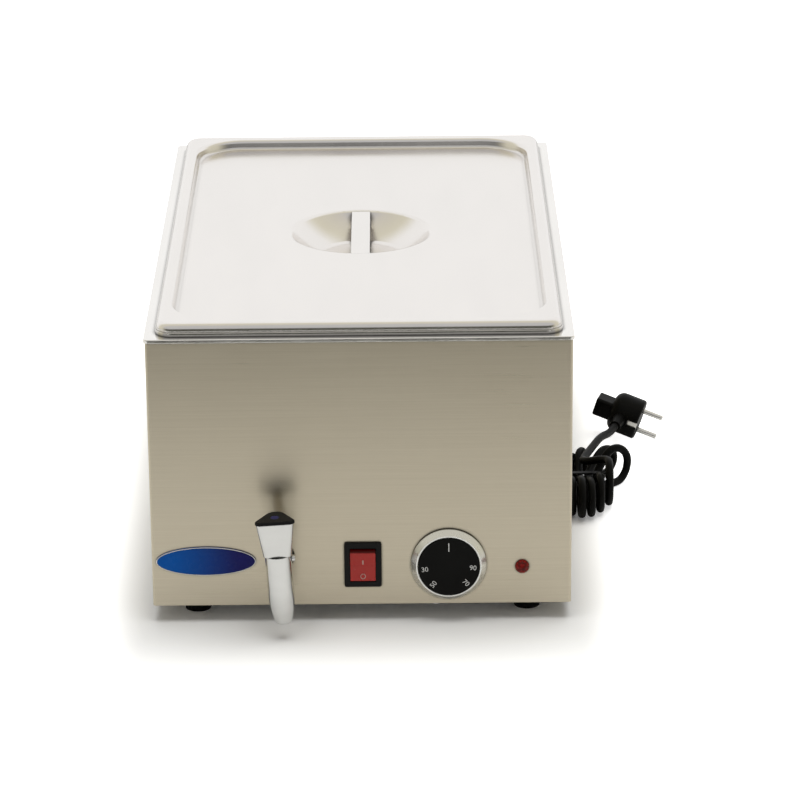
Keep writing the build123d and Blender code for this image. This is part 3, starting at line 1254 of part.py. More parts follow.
# Inner wiring: live and neutral to the switch, earth, switch to thermostat, thermostat to element
BLADE_END_Y = FRONT_Y + HOUSING_DEPTH + BLADE_LENGTH
pin_tip_y = ELEMENT_FRONT_Y - PIN_LENGTH


def wire_to_switch(slot, side):
    """Points of a wire from a terminal block slot along the bottom to a lower switch blade."""
    start_x = GLAND_X + slot * CORE_PITCH
    end_x = SWITCH_X + side * BLADE_PITCH_X / 2
    end_z = CONTROL_Z - BLADE_PITCH_Z / 2
    return [
        (start_x, BLOCK_FRONT_Y, CORE_Z),
        (start_x, BLOCK_FRONT_Y - 3 * WIRE_TURN, CORE_Z),
        (end_x, BLADE_END_Y + 6 * WIRE_TURN, CORE_Z),
        (end_x, BLADE_END_Y + 2 * WIRE_TURN, end_z),
        (end_x, BLADE_END_Y, end_z),
    ]


wire_live = tube(route(wire_to_switch(1, 1), WIRE_TURN), WIRE_DIAMETER)
save(wire_live, "wire_live")
wire_neutral = tube(route(wire_to_switch(0, -1), WIRE_TURN), WIRE_DIAMETER)
save(wire_neutral, "wire_neutral")

earth_turn_y = BLOCK_FRONT_Y - 1.5 * WIRE_TURN
earth_points = [
    (GLAND_X - CORE_PITCH, BLOCK_FRONT_Y, CORE_Z),
    (GLAND_X - CORE_PITCH, earth_turn_y, CORE_Z),
    (EARTH_SPOT[0], earth_turn_y, CORE_Z),
    (EARTH_SPOT[0], BLOCK_Y - EARTH_STUD_DIAMETER / 2, CORE_Z),
]
wire_earth = tube(route(earth_points, WIRE_TURN / 2), WIRE_DIAMETER)
save(wire_earth, "wire_earth")

FEED_X = SWITCH_X + BLADE_PITCH_X / 2
FEED_Z = CONTROL_Z + BLADE_PITCH_Z / 2
STAT_FEED_X = KNOB_X - STAT_WIDTH / 4
STAT_LOAD_X = KNOB_X + STAT_WIDTH / 4
STAT_FEED_Z = CONTROL_Z - STAT_HEIGHT / 4
feed_points = [
    (FEED_X, BLADE_END_Y, FEED_Z),
    (FEED_X, BLADE_END_Y + 2 * WIRE_TURN, FEED_Z),
    (STAT_FEED_X, STAT_BACK_Y + 2 * WIRE_TURN, STAT_FEED_Z),
    (STAT_FEED_X, STAT_BACK_Y, STAT_FEED_Z),
]
feed_wire = tube(route(feed_points, WIRE_TURN / 2), WIRE_DIAMETER)
load_points = [
    (STAT_LOAD_X, STAT_BACK_Y, STAT_FEED_Z),
    (STAT_LOAD_X, STAT_BACK_Y + 1.2 * WIRE_TURN, STAT_FEED_Z),
    (1.5 * leg, pin_tip_y - 1.2 * WIRE_TURN, ELEMENT_Z),
    (1.5 * leg, pin_tip_y, ELEMENT_Z),
]
load_wire = tube(route(load_points, WIRE_TURN / 3), WIRE_DIAMETER)
with BuildPart() as wire_control:
    add(feed_wire.part)
    add(load_wire.part)
save(wire_control, "wire_control")

# Mains cord from the strain relief round the rear corner and along the right side to the hank
lead_points = [
    (GLAND_X, BOOT_TIP_Y - BOOT_GRIP, GLAND_Z),
    (GLAND_X, BOOT_TIP_Y + LEAD_RUN, GLAND_Z),
    (103, 365.5, 40.5),
    (125, 379.5, 32),
    (151, 378.5, 22),
    (172.3, 363.6, 12.5),
    (183.3, 340, 6),
    (184.5, 311, FLOOR_Z),
    (181.5, 277, FLOOR_Z),
    (183.5, 240, FLOOR_Z),
    (181, 200, FLOOR_Z),
    (182.5, 162, FLOOR_Z),
    (179.5, 131, FLOOR_Z),
    (179.5, 107, FLOOR_Z),
]
lead_radii = corner_radii(lead_points)
lead_route = route(lead_points, lead_radii)
cord_lead = tube(lead_route, CORD_DIAMETER)
print("lead radii", [round(radius, 1) for radius in lead_radii])
print("lead volume over section times length", cord_lead.part.volume / (CORD_SECTION * lead_route.length))
save(cord_lead, "cord_lead")

# Hank: upright turns side by side, drawn in at the tied waist, with the back bights fanned out
WAIST_LIFT = TIE_THICKNESS + TIE_CLEAR
LOWER_WAIST_Z = FLOOR_Z + WAIST_LIFT
UPPER_WAIST_Z = LOWER_WAIST_Z + LAYER_STEP
HANK_TURNS = len(LOBE_TOPS)
MIDDLE_TURN = (HANK_TURNS - 1) / 2
TOWARDS_FRONT = (0, -1, 0)
TOWARDS_BACK = (0, 1, 0)
UPWARDS = (0, 0, 1)
DOWNWARDS = (0, 0, -1)

# Top, far end and foot of each back bight from the middle of the hank, and its heading
back_bights = [
    ((-14.5, 56, 22), (-10.3, 67, 12.8), (-6.1, 56, FLOOR_Z), 0),
    ((-5.5, 62, 25), (-1.3, 74.5, 14.3), (2.9, 62, FLOOR_Z), 0),
    ((16, 66, 25.5), (25.5, 76, 14.5), (16.5, 63, FLOOR_Z), 34),
    ((24, 47, 34), (36.5, 55, 19), (27, 44, FLOOR_Z), 49),
]


def heading_way(degrees):
    """Level direction at an angle from the back towards the right."""
    return (sin(radians(degrees)), cos(radians(degrees)), 0)


def lobe(number):
    """Knots of one turn at the front: along the floor, up, and back along the top."""
    x = (number - MIDDLE_TURN) * LOBE_PITCH
    radius = (LOBE_TOPS[number] - FLOOR_Z) / 2
    return [
        ((x, LOBE_KNEES[number], FLOOR_Z), TOWARDS_FRONT),
        ((x, LOBE_KNEES[number] - radius, FLOOR_Z + radius), UPWARDS),
        ((x, LOBE_KNEES[number], LOBE_TOPS[number]), TOWARDS_BACK),
    ]


def bight(top, end, foot, heading):
    """Knots of one bight at the back, from its top strand down to its floor strand."""
    out = heading_way(heading)
    return [(top, out), (end, DOWNWARDS), (foot, (-out[0], -out[1], 0))]


entry = lead_points[-1]
hank_knots = [((entry[0] - HANK_X, entry[1] - CORD_DIAMETER, FLOOR_Z), TOWARDS_FRONT)]
for number in range(HANK_TURNS):
    waist_x = (number - MIDDLE_TURN) * WAIST_PITCH
    hank_knots += [((waist_x, WAIST_Y, LOWER_WAIST_Z), TOWARDS_FRONT)]
    hank_knots += lobe(number)
    if number < HANK_TURNS - 1:
        hank_knots += [((waist_x, WAIST_Y, UPPER_WAIST_Z), TOWARDS_BACK)]
        hank_knots += bight(*back_bights[number])
hank_knots += [((CROSS_X, CROSS_Y, EXIT_Z), heading_way(CROSS_HEADING))]
hank_knots += [((EXIT_X, EXIT_Y, EXIT_Z), heading_way(EXIT_HEADING))]
hank_spots = [((HANK_X + x, y, z), direction) for (x, y, z), direction in hank_knots]
exit_way = Vector(*heading_way(EXIT_HEADING))
hank_end = Vector(*hank_spots[-1][0]) + exit_way * CORD_DIAMETER

with BuildPart() as cord_hank:
    with BuildLine() as hank_path:
        Line(entry, hank_spots[0][0])
        for (spot, direction), (next_spot, next_direction) in zip(hank_spots, hank_spots[1:]):
            biarc(spot, direction, next_spot, next_direction)
        Line(hank_spots[-1][0], hank_end)
    hank_wire = hank_path.wires()[0]
    with BuildSketch(Plane(origin=entry, z_dir=TOWARDS_FRONT)):
        Circle(CORD_RADIUS)
    sweep(path=hank_wire)
save(cord_hank, "cord_hank")


def least_self_gap(edges, spacing, skip):
    """Least gap between stretches of a tube that are more than a skipped length apart along it."""
    points = []
    walked = 0.0
    for edge in edges:
        steps = max(2, round(edge.length / spacing))
        points += [(walked + edge.length * i / steps, edge.position_at(i / steps)) for i in range(steps)]
        walked += edge.length
    gap = walked
    for index, (here_at, here) in enumerate(points):
        for there_at, there in points[index + 1:]:
            if there_at - here_at > skip:
                gap = min(gap, (there - here).length - CORD_DIAMETER)
    return gap


hank_gap = least_self_gap(hank_path.edges(), CORD_RADIUS, 5 * CORD_DIAMETER)
print("hank length", hank_wire.length, "least gap", hank_gap)
print("hank volume over section times length", cord_hank.part.volume / (CORD_SECTION * hank_wire.length))

# Tie band round the waist of the hank
TIE_INNER_WIDTH = 2 * MIDDLE_TURN * WAIST_PITCH + CORD_DIAMETER + 2 * TIE_CLEAR
TIE_LOW = LOWER_WAIST_Z - CORD_RADIUS - TIE_CLEAR
TIE_HIGH = UPPER_WAIST_Z + CORD_RADIUS + TIE_CLEAR
TIE = Plane(origin=(HANK_X, WAIST_Y, (TIE_LOW + TIE_HIGH) / 2), x_dir=(1, 0, 0), z_dir=(0, -1, 0))
with BuildPart() as cord_tie:
    with BuildSketch(TIE):
        RectangleRounded(
            TIE_INNER_WIDTH + 2 * TIE_THICKNESS,
            TIE_HIGH - TIE_LOW + 2 * TIE_THICKNESS,
            CORD_RADIUS + TIE_THICKNESS,
        )
        RectangleRounded(TIE_INNER_WIDTH, TIE_HIGH - TIE_LOW, CORD_RADIUS, mode=Mode.SUBTRACT)
    extrude(amount=TIE_WIDTH / 2, both=True)
save(cord_tie, "cord_tie")

# Angled plug resting on the edge of its face: pins to the right, cord leaving towards the hank
turn = radians(PLUG_TURN)
tilt = radians(PLUG_TILT)
pin_way = Vector(cos(turn) * cos(tilt), -sin(turn) * cos(tilt), -sin(tilt))
nub_way = Vector(-sin(turn), -cos(turn), 0)
pin_line = nub_way.cross(pin_way)
plug_face = Vector(PLUG_X, PLUG_Y, PLUG_RADIUS * cos(tilt) + FLOOR_GAP)
plug_core = plug_face - pin_way * PLUG_CORE_Z
PLUG = Plane(origin=plug_face, x_dir=pin_line, z_dir=pin_way)
PLUG_SECTION = Plane(origin=plug_face, x_dir=pin_line, z_dir=pin_line.cross(pin_way))
NUB = Plane(origin=plug_core, x_dir=pin_way, z_dir=nub_way)
nub_end = plug_core + nub_way * PLUG_NUB_REACH
with BuildPart() as plug_body:
    with BuildSketch(PLUG_SECTION):
        with BuildLine():
            Polyline(
                (0, -PLUG_LENGTH),
                (0, 0),
                (PLUG_RADIUS - PLUG_EDGE, 0),
                (PLUG_RADIUS, -PLUG_EDGE),
                (PLUG_RADIUS, PLUG_ROUND - PLUG_LENGTH),
            )
            ThreePointArc(
                (PLUG_RADIUS, PLUG_ROUND - PLUG_LENGTH),
                (PLUG_RADIUS - PLUG_ROUND * (1 - cos(pi / 4)), PLUG_ROUND * (1 - sin(pi / 4)) - PLUG_LENGTH),
                (PLUG_RADIUS - PLUG_ROUND, -PLUG_LENGTH),
            )
            Line((PLUG_RADIUS - PLUG_ROUND, -PLUG_LENGTH), (0, -PLUG_LENGTH))
        make_face()
    revolve(axis=Axis(plug_face, pin_way))
    with BuildSketch(PLUG.offset(PLUG_ROUND - PLUG_LENGTH)):
        RectangleRounded(PLUG_GRIP_WIDTH, PLUG_GRIP_HEIGHT, PLUG_GRIP_ROUND)
    extrude(amount=-PLUG_ROUND - PLUG_GRIP_LENGTH)
    fillet(plug_body.faces().sort_by(Axis(plug_face, pin_way))[0].edges(), PLUG_GRIP_ROUND / 2)
    with BuildSketch(NUB.offset(PLUG_RADIUS / 2)):
        Circle(PLUG_NUB_DIAMETER / 2)
    with BuildSketch(NUB.offset(PLUG_NUB_REACH)):
        Circle(PLUG_NUB_TIP / 2)
    loft()
    with BuildSketch(PLUG):
        with GridLocations(1, 2 * PLUG_RADIUS - EARTH_SLOT_DEPTH, 1, 2):
            Rectangle(EARTH_SLOT_WIDTH, EARTH_SLOT_DEPTH)
    extrude(amount=-EARTH_SLOT_LENGTH, mode=Mode.SUBTRACT)
save(plug_body, "plug_body")

EARTH_STRIP_SPAN = 2 * (PLUG_RADIUS - EARTH_SLOT_DEPTH) + EARTH_STRIP_THICKNESS
with BuildPart() as plug_contacts:
    with BuildSketch(PLUG):
        with GridLocations(PLUG_PIN_PITCH, 1, 2, 1):
            Circle(PLUG_PIN_DIAMETER / 2)
    extrude(amount=PLUG_PIN_LENGTH)
    fillet(plug_contacts.faces().sort_by(Axis(plug_face, pin_way))[-2:].edges(), PLUG_PIN_DIAMETER / 4)
    with BuildSketch(PLUG):
        with GridLocations(1, EARTH_STRIP_SPAN, 1, 2):
            Rectangle(EARTH_SLOT_WIDTH - 2 * FIT, EARTH_STRIP_THICKNESS)
    extrude(amount=-EARTH_SLOT_LENGTH + FIT)
save(plug_contacts, "plug_contacts")

# Last stretch of the cord from the hank to the plug
tail_points = [
    hank_end,
    hank_end + exit_way * TAIL_RUN,
    nub_end + nub_way * TAIL_RUN,
    nub_end,
]
tail_radii = corner_radii(tail_points)
tail_route = route(tail_points, tail_radii)
cord_tail = tube(tail_route, CORD_DIAMETER)
print("tail radii", [round(radius, 1) for radius in tail_radii])
print("tail volume over section times length", cord_tail.part.volume / (CORD_SECTION * tail_route.length))
print("cord length", lead_route.length + hank_wire.length + tail_route.length)
save(cord_tail, "cord_tail")
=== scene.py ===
from math import cos, pi, radians, sin

import bmesh
import bpy
from mathutils import Matrix, Vector


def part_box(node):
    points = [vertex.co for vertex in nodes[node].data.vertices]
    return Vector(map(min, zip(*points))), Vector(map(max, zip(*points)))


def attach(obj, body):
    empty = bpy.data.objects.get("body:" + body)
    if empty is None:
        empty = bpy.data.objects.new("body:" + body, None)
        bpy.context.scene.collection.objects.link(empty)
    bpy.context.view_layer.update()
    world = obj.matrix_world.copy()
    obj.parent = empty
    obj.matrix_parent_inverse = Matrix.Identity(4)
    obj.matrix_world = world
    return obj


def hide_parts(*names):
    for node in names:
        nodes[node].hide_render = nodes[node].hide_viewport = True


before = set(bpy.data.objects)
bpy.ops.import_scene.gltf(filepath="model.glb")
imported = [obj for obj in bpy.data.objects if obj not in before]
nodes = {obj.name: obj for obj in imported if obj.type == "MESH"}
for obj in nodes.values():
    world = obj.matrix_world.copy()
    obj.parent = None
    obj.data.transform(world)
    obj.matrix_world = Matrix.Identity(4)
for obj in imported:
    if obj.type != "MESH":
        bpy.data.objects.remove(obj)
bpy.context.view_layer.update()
scene = bpy.context.scene
scene.view_settings.view_transform = "Standard"

# Places on the object, in metres
FRONT_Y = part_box("casing_wrap")[0][1]
KNOB = Vector((0.0705, FRONT_Y - 0.0078, 0.050))
SWITCH = Vector((0.001, FRONT_Y, 0.050))
PLATE = Vector((-0.126, FRONT_Y - 0.001, 0.054))

# Camera at the photograph's place: a long lens looking down at the front, angles in degrees
CAMERA_SPOT = (0.0287, -2.9963, 1.2162)
CAMERA_PITCH = 20.446
CAMERA_YAW = 0.073
CAMERA_ROLL = -0.509
CAMERA_LENS = 165.64
CAMERA_SENSOR = 36.0
CAMERA_REACH = 50.0


def place_camera():
    pitch, yaw, roll = radians(CAMERA_PITCH), radians(CAMERA_YAW), radians(CAMERA_ROLL)
    forward = Vector((sin(yaw) * cos(pitch), cos(yaw) * cos(pitch), -sin(pitch)))
    level_right = Vector((cos(yaw), -sin(yaw), 0))
    level_up = level_right.cross(forward)
    right = level_right * cos(roll) + level_up * sin(roll)
    up = level_up * cos(roll) - level_right * sin(roll)
    data = bpy.data.cameras.new("camera")
    data.sensor_width = CAMERA_SENSOR
    data.lens = CAMERA_LENS
    data.clip_end = CAMERA_REACH
    camera = bpy.data.objects.new("camera", data)
    rotation = Matrix((right, up, -forward)).transposed().to_4x4()
    camera.matrix_world = Matrix.Translation(CAMERA_SPOT) @ rotation
    scene.collection.objects.link(camera)
    scene.camera = camera


place_camera()

# Sockets of Blender's Mix node that share a name
FLOAT_A, FLOAT_B, COLOUR_A, COLOUR_B, COLOUR_OUT = 2, 3, 6, 7, 2
# Range in which most values of a noise lie
NOISE_RANGE = (0.3, 0.7)
# Range of occlusion over which the painted shade in a crease goes from dark to clear
PAINTED_SHADE_RANGE = (0.35, 0.9)
# Share of a fade over which its colour changes
FADE_STOPS = (0.1, 0.9)
# How dark the wipe marks on polished metal are
WIPE_SHADE = 0.95


# Shader helpers
def new_material(name, **values):
    made = bpy.data.materials.new(name)
    made.use_nodes = True
    shader = made.node_tree.nodes["Principled BSDF"]
    for key, value in values.items():
        shader.inputs[key.replace("_", " ")].default_value = value
    return made, made.node_tree, shader


def add_node(tree, kind, **settings):
    node = tree.nodes.new(kind)
    for key, value in settings.items():
        if key in node.inputs:
            node.inputs[key].default_value = value
        else:
            setattr(node, key, value)
    return node


def stretched_noise(tree, scale, detail=4.0, roughness=0.6):
    """Noise in the object's own metres, stretched by a scale for each axis."""
    place = add_node(tree, "ShaderNodeTexCoord")
    mapping = add_node(tree, "ShaderNodeMapping", Scale=scale)
    noise = add_node(tree, "ShaderNodeTexNoise", Scale=1.0, Detail=detail, Roughness=roughness)
    tree.links.new(place.outputs["Object"], mapping.inputs["Vector"])
    tree.links.new(mapping.outputs["Vector"], noise.inputs["Vector"])
    return noise.outputs["Fac"]


def mapped(tree, value, source, target=(0.0, 1.0), ease="LINEAR"):
    """Value taken from a source range to a target range."""
    node = add_node(tree, "ShaderNodeMapRange", interpolation_type=ease)
    limits = zip(("From Min", "From Max", "To Min", "To Max"), (*source, *target))
    for name, limit in limits:
        node.inputs[name].default_value = limit
    tree.links.new(value, node.inputs["Value"])
    return node.outputs["Result"]


def mixed(tree, first, second, share):
    """Two values mixed, with the second one's share."""
    node = add_node(tree, "ShaderNodeMix", data_type="FLOAT", Factor=share)
    tree.links.new(first, node.inputs[FLOAT_A])
    tree.links.new(second, node.inputs[FLOAT_B])
    return node.outputs[0]


def blended(tree, first, second, way):
    """Two colours put together in full, in a way that the Mix node knows."""
    node = add_node(tree, "ShaderNodeMix", data_type="RGBA", blend_type=way, Factor=1.0)
    tree.links.new(first, node.inputs[COLOUR_A])
    tree.links.new(second, node.inputs[COLOUR_B])
    return node.outputs[COLOUR_OUT]


def reckoned(tree, operation, *values):
    """Result of a Math node on sockets and plain numbers."""
    node = add_node(tree, "ShaderNodeMath", operation=operation)
    for socket, value in zip(node.inputs, values):
        if isinstance(value, float):
            socket.default_value = value
        else:
            tree.links.new(value, socket)
    return node.outputs[0]


def tint(tree, value, dark, light, stops=NOISE_RANGE):
    """Colour between dark and light by a value."""
    ramp = add_node(tree, "ShaderNodeValToRGB")
    for element, stop, color in zip(ramp.color_ramp.elements, stops, (dark, light)):
        element.position = stop
        element.color = (*color, 1)
    tree.links.new(value, ramp.inputs["Fac"])
    return ramp.outputs["Color"]


def bump(tree, shader, value, strength, distance, edge=0.0):
    """Bump from a height, over softened edges where an edge radius is given."""
    node = add_node(tree, "ShaderNodeBump", Strength=strength, Distance=distance)
    tree.links.new(value, node.inputs["Height"])
    if edge:
        soft = add_node(tree, "ShaderNodeBevel", samples=4, Radius=edge)
        tree.links.new(soft.outputs["Normal"], node.inputs["Normal"])
    tree.links.new(node.outputs["Normal"], shader.inputs["Normal"])


def painted_crease_shade(tree, color, reach):
    """Painted shade: darken a colour by occlusion in creases and under edges, within a reach."""
    crease_shade = add_node(tree, "ShaderNodeAmbientOcclusion", samples=8, Distance=reach)
    return blended(tree, color, mapped(tree, crease_shade.outputs["AO"], PAINTED_SHADE_RANGE), "MULTIPLY")


def outside(tree, centre, half, stretch):
    """Distance outwards from an upright box, 0 within it, stretched by a scale for each axis."""
    place = add_node(tree, "ShaderNodeTexCoord")
    spot = place.outputs["Object"]
    for operation, amount in (
        ("SUBTRACT", centre),
        ("ABSOLUTE", None),
        ("SUBTRACT", half),
        ("MAXIMUM", (0, 0, 0)),
        ("MULTIPLY", stretch),
    ):
        step = add_node(tree, "ShaderNodeVectorMath", operation=operation)
        tree.links.new(spot, step.inputs[0])
        if amount is not None:
            step.inputs[1].default_value = amount
        spot = step.outputs["Vector"]
    away = add_node(tree, "ShaderNodeVectorMath", operation="LENGTH")
    tree.links.new(spot, away.inputs[0])
    return away.outputs["Value"]


def brushed(name, dark, light, grain, rough, anisotropy=0.0):
    """Steel with fine grain and painted shade in its creases and under its edges: grain holds the
    noise scale for each axis.
    """
    made, tree, shader = new_material(
        name, Metallic=1.0, Anisotropic=anisotropy, Anisotropic_Rotation=0.25
    )
    fine = stretched_noise(tree, grain, detail=5.0, roughness=0.7)
    broad = stretched_noise(tree, (7.0, 7.0, 9.0), detail=3.0, roughness=0.5)
    streaks = mixed(tree, fine, broad, share=0.35)
    shade = painted_crease_shade(tree, tint(tree, streaks, dark, light), reach=0.003)
    tree.links.new(shade, shader.inputs["Base Color"])
    tree.links.new(mapped(tree, streaks, NOISE_RANGE, rough), shader.inputs["Roughness"])
    if anisotropy:
        tangent = add_node(tree, "ShaderNodeTangent", direction_type="RADIAL", axis="Z")
        tree.links.new(tangent.outputs["Tangent"], shader.inputs["Tangent"])
    bump(tree, shader, fine, strength=0.25, distance=0.00002, edge=0.0004)
    return made


def polished(
    name, color, rough, edge=0.0005, smear=(60.0, 60.0, 90.0), relief=0.05, crease_shade=0.0025
):
    """Plated or polished metal with faint wipe marks, and painted shade in its creases and under
    its edges.
    """
    made, tree, shader = new_material(name, Metallic=1.0)
    wiped = stretched_noise(tree, smear, detail=5.0)
    shade = tint(tree, wiped, [c * WIPE_SHADE for c in color], color)
    tree.links.new(painted_crease_shade(tree, shade, crease_shade), shader.inputs["Base Color"])
    tree.links.new(mapped(tree, wiped, NOISE_RANGE, rough), shader.inputs["Roughness"])
    bump(tree, shader, wiped, strength=relief, distance=0.0001, edge=edge)
    return made


def moulded(name, dark, light, rough, grain=900.0, coat=0.0, edge=0.0005, gloss=0.5):
    """Plastic or rubber with a fine moulded surface."""
    made, tree, shader = new_material(
        name, Coat_Weight=coat, Coat_Roughness=0.12, Specular_IOR_Level=gloss
    )
    fine = stretched_noise(tree, (grain, grain, grain), detail=3.0, roughness=0.5)
    broad = stretched_noise(tree, (35.0, 35.0, 35.0))
    tree.links.new(tint(tree, broad, dark, light), shader.inputs["Base Color"])
    tree.links.new(mapped(tree, broad, NOISE_RANGE, rough), shader.inputs["Roughness"])
    bump(tree, shader, fine, strength=0.2, distance=0.00006, edge=edge)
    return made


def along_axis(tree, axis, low, high):
    """Value from 0 to 1 between two places on an axis of the object."""
    place = add_node(tree, "ShaderNodeTexCoord")
    split = add_node(tree, "ShaderNodeSeparateXYZ")
    tree.links.new(place.outputs["Object"], split.inputs["Vector"])
    return mapped(tree, split.outputs[axis], (low, high), ease="SMOOTHSTEP")


def faded(name, axis, low, high, first, last, rough, coat, gloss):
    """Enamelled or moulded surface that fades from one colour to another along an axis; on the
    rocker this fade is painted shade.
    """
    made, tree, shader = new_material(
        name, Coat_Weight=coat, Coat_Roughness=0.08, Specular_IOR_Level=gloss
    )
    speck = stretched_noise(tree, (700.0, 700.0, 700.0), detail=3.0, roughness=0.5)
    cloud = stretched_noise(tree, (60.0, 60.0, 60.0))
    fade = mixed(tree, along_axis(tree, axis, low, high), cloud, share=0.12)
    tree.links.new(tint(tree, fade, first, last, FADE_STOPS), shader.inputs["Base Color"])
    tree.links.new(mapped(tree, cloud, NOISE_RANGE, rough), shader.inputs["Roughness"])
    bump(tree, shader, speck, strength=0.15, distance=0.00004, edge=0.0004)
    return made


def faceted(name, dark, light, cell):
    """Coloured lens with small pressed facets."""
    made, tree, shader = new_material(
        name, Coat_Weight=0.1, Coat_Roughness=0.05, Specular_IOR_Level=0.15
    )
    place = add_node(tree, "ShaderNodeTexCoord")
    cells = add_node(tree, "ShaderNodeTexVoronoi", Scale=1.0 / cell)
    tree.links.new(place.outputs["Object"], cells.inputs["Vector"])
    facets = cells.outputs["Distance"]
    tree.links.new(tint(tree, facets, light, dark), shader.inputs["Base Color"])
    tree.links.new(mapped(tree, facets, NOISE_RANGE, (0.10, 0.20)), shader.inputs["Roughness"])
    bump(tree, shader, facets, strength=0.5, distance=0.0006)
    return made


def dress(made, *names):
    """Give a material to CAD nodes."""
    for name in names:
        nodes[name].data.materials.clear()
        nodes[name].data.materials.append(made)


def shown(name, data, made, body, matrix=None):
    """Add a piece of the scene, riding on a body, placed by a matrix where one is given."""
    piece = bpy.data.objects.new(name, data)
    if matrix is not None:
        piece.matrix_world = matrix
    scene.collection.objects.link(piece)
    data.materials.append(made)
    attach(piece, body)
    return piece


# Metals of the CAD nodes, each with painted shade in its creases and under its edges
panel_steel = brushed(
    "panel_steel", (0.522, 0.467, 0.362), (0.600, 0.545, 0.432),
    grain=(10.0, 10.0, 900.0), rough=(0.26, 0.36), anisotropy=0.6,
)
# Painted shade: the lid's wider crease reach darkens its recess bends and the metal below its rim
lid_steel = polished(
    "lid_steel", (0.86, 0.83, 0.80), (0.16, 0.24),
    edge=0.0006, smear=(25.0, 6.0, 25.0), relief=0.02, crease_shade=0.006,
)
tank_steel = polished(
    "tank_steel", (0.90, 0.88, 0.85), (0.07, 0.12),
    edge=0.0006, smear=(30.0, 8.0, 30.0), relief=0.02, crease_shade=0.004,
)
pan_steel = polished(
    "pan_steel", (0.72, 0.70, 0.67), (0.05, 0.09),
    edge=0.0006, smear=(30.0, 8.0, 30.0), relief=0.02, crease_shade=0.004,
)
chrome = polished("chrome", (0.68, 0.68, 0.665), (0.03, 0.07), edge=0.0009)
skirt_chrome = polished("skirt_chrome", (0.80, 0.80, 0.77), (0.24, 0.32))
zinc = polished("zinc", (0.66, 0.66, 0.67), (0.22, 0.36))
nickel = polished("nickel", (0.80, 0.79, 0.76), (0.12, 0.22))
brass = polished("brass", (0.72, 0.55, 0.25), (0.18, 0.30))
copper = polished("copper", (0.72, 0.40, 0.28), (0.22, 0.34))
sheath = brushed(
    "sheath", (0.20, 0.18, 0.16), (0.34, 0.31, 0.28), grain=(40.0, 40.0, 40.0), rough=(0.40, 0.60)
)
aluminium = brushed(
    "aluminium", (0.70, 0.70, 0.71), (0.80, 0.80, 0.81),
    grain=(10.0, 400.0, 10.0), rough=(0.30, 0.45),
)

# Plastics, rubber and print
black = moulded(
    "black_plastic", (0.004, 0.004, 0.004), (0.007, 0.007, 0.007), (0.30, 0.42), gloss=0.14
)
dial_black = moulded(
    "dial_black", (0.004, 0.004, 0.0035), (0.006, 0.006, 0.0055), (0.45, 0.55), gloss=0.08
)
index_blue = moulded(
    "index_blue", (0.006, 0.006, 0.07), (0.009, 0.009, 0.10), (0.18, 0.26), coat=0.2, gloss=0.2
)
# Painted shade: the rocker's red fades to near black over its top end, from 61.4 to 62.8 mm up,
# where the frame shades it
rocker_red = faded(
    "rocker_red", "Z", low=0.0614, high=0.0628,
    first=(0.46, 0.034, 0.028), last=(0.05, 0.0005, 0.0005),
    rough=(0.20, 0.30), coat=0.1, gloss=0.2,
)
lens_red = faceted("lens_red", (0.10, 0.003, 0.002), (0.24, 0.008, 0.006), cell=0.0022)
plate_blue = faded(
    "plate_blue", "X", low=-0.166, high=-0.088,
    first=(0.000, 0.095, 0.42), last=(0.010, 0.010, 0.115),
    rough=(0.22, 0.32), coat=0.04, gloss=0.08,
)
rubber = moulded(
    "foot_rubber", (0.003, 0.003, 0.003), (0.007, 0.007, 0.007), (0.55, 0.75),
    grain=500.0, gloss=0.1,
)
cord_black = moulded(
    "cord_black", (0.0018, 0.0018, 0.0014), (0.0035, 0.0035, 0.003), (0.34, 0.50),
    grain=700.0, gloss=0.07,
)
hose_red = moulded("hose_red", (0.42, 0.14, 0.08), (0.55, 0.20, 0.12), (0.45, 0.60))
stat_plastic = moulded("stat_plastic", (0.62, 0.60, 0.55), (0.72, 0.70, 0.65), (0.40, 0.55))
wire_brown = moulded("wire_brown", (0.22, 0.10, 0.05), (0.30, 0.15, 0.07), (0.35, 0.45))
wire_blue = moulded("wire_blue", (0.06, 0.17, 0.48), (0.10, 0.25, 0.60), (0.35, 0.45))
wire_green = moulded("wire_green", (0.18, 0.42, 0.10), (0.25, 0.55, 0.15), (0.35, 0.45))
core_mixed = moulded("core_mixed", (0.28, 0.24, 0.20), (0.36, 0.31, 0.26), (0.35, 0.45))
white_print = moulded(
    "white_print", (0.62, 0.62, 0.60), (0.72, 0.72, 0.70), (0.40, 0.50), edge=0.0
)
mark_print = moulded(
    "mark_print", (0.55, 0.30, 0.26), (0.66, 0.40, 0.36), (0.40, 0.50), edge=0.0
)

dress(panel_steel, "casing_wrap", "back_panel")
dress(lid_steel, "lid", "lid_handle")
dress(tank_steel, "well_tank")
dress(pan_steel, "gn_pan")
dress(chrome, "tap_body", "tap_handle", "tap_stop_screw", "tap_spindle")
dress(skirt_chrome, "knob_skirt")
dress(zinc, "casing_screws", "foot_screws", "foot_nuts", "thermostat_screws", "element_nuts")
dress(zinc, "hose_clips", "knob_spindle", "bulb_clip", "switch_terminals", "earth_stud")
dress(zinc, "lamp_nut", "bottom_plate")
dress(nickel, "plug_contacts")
dress(brass, "tap_lock_nut", "drain_elbow")
dress(black, "switch_housing", "tap_cap", "cord_gland", "gland_nut", "cord_tie")
dress(dial_black, "knob_dial")
dress(index_blue, "tap_index_dot")
dress(rocker_red, "rocker")
dress(lens_red, "lamp_lens")
dress(plate_blue, "name_plate")
dress(rubber, "foot_front_left", "foot_front_right", "foot_rear_left", "foot_rear_right")
dress(rubber, "tap_seal")
dress(hose_red, "drain_hose")
dress(cord_black, "strain_relief", "plug_body")
dress(sheath, "heating_element")
dress(aluminium, "clamp_plate")
dress(copper, "capillary_bulb")
dress(stat_plastic, "thermostat_body", "overheat_cutout", "terminal_block", "lamp_body")
dress(wire_brown, "wire_live", "wire_control")
dress(wire_blue, "wire_neutral")
dress(wire_green, "wire_earth")
dress(core_mixed, "supply_cores")

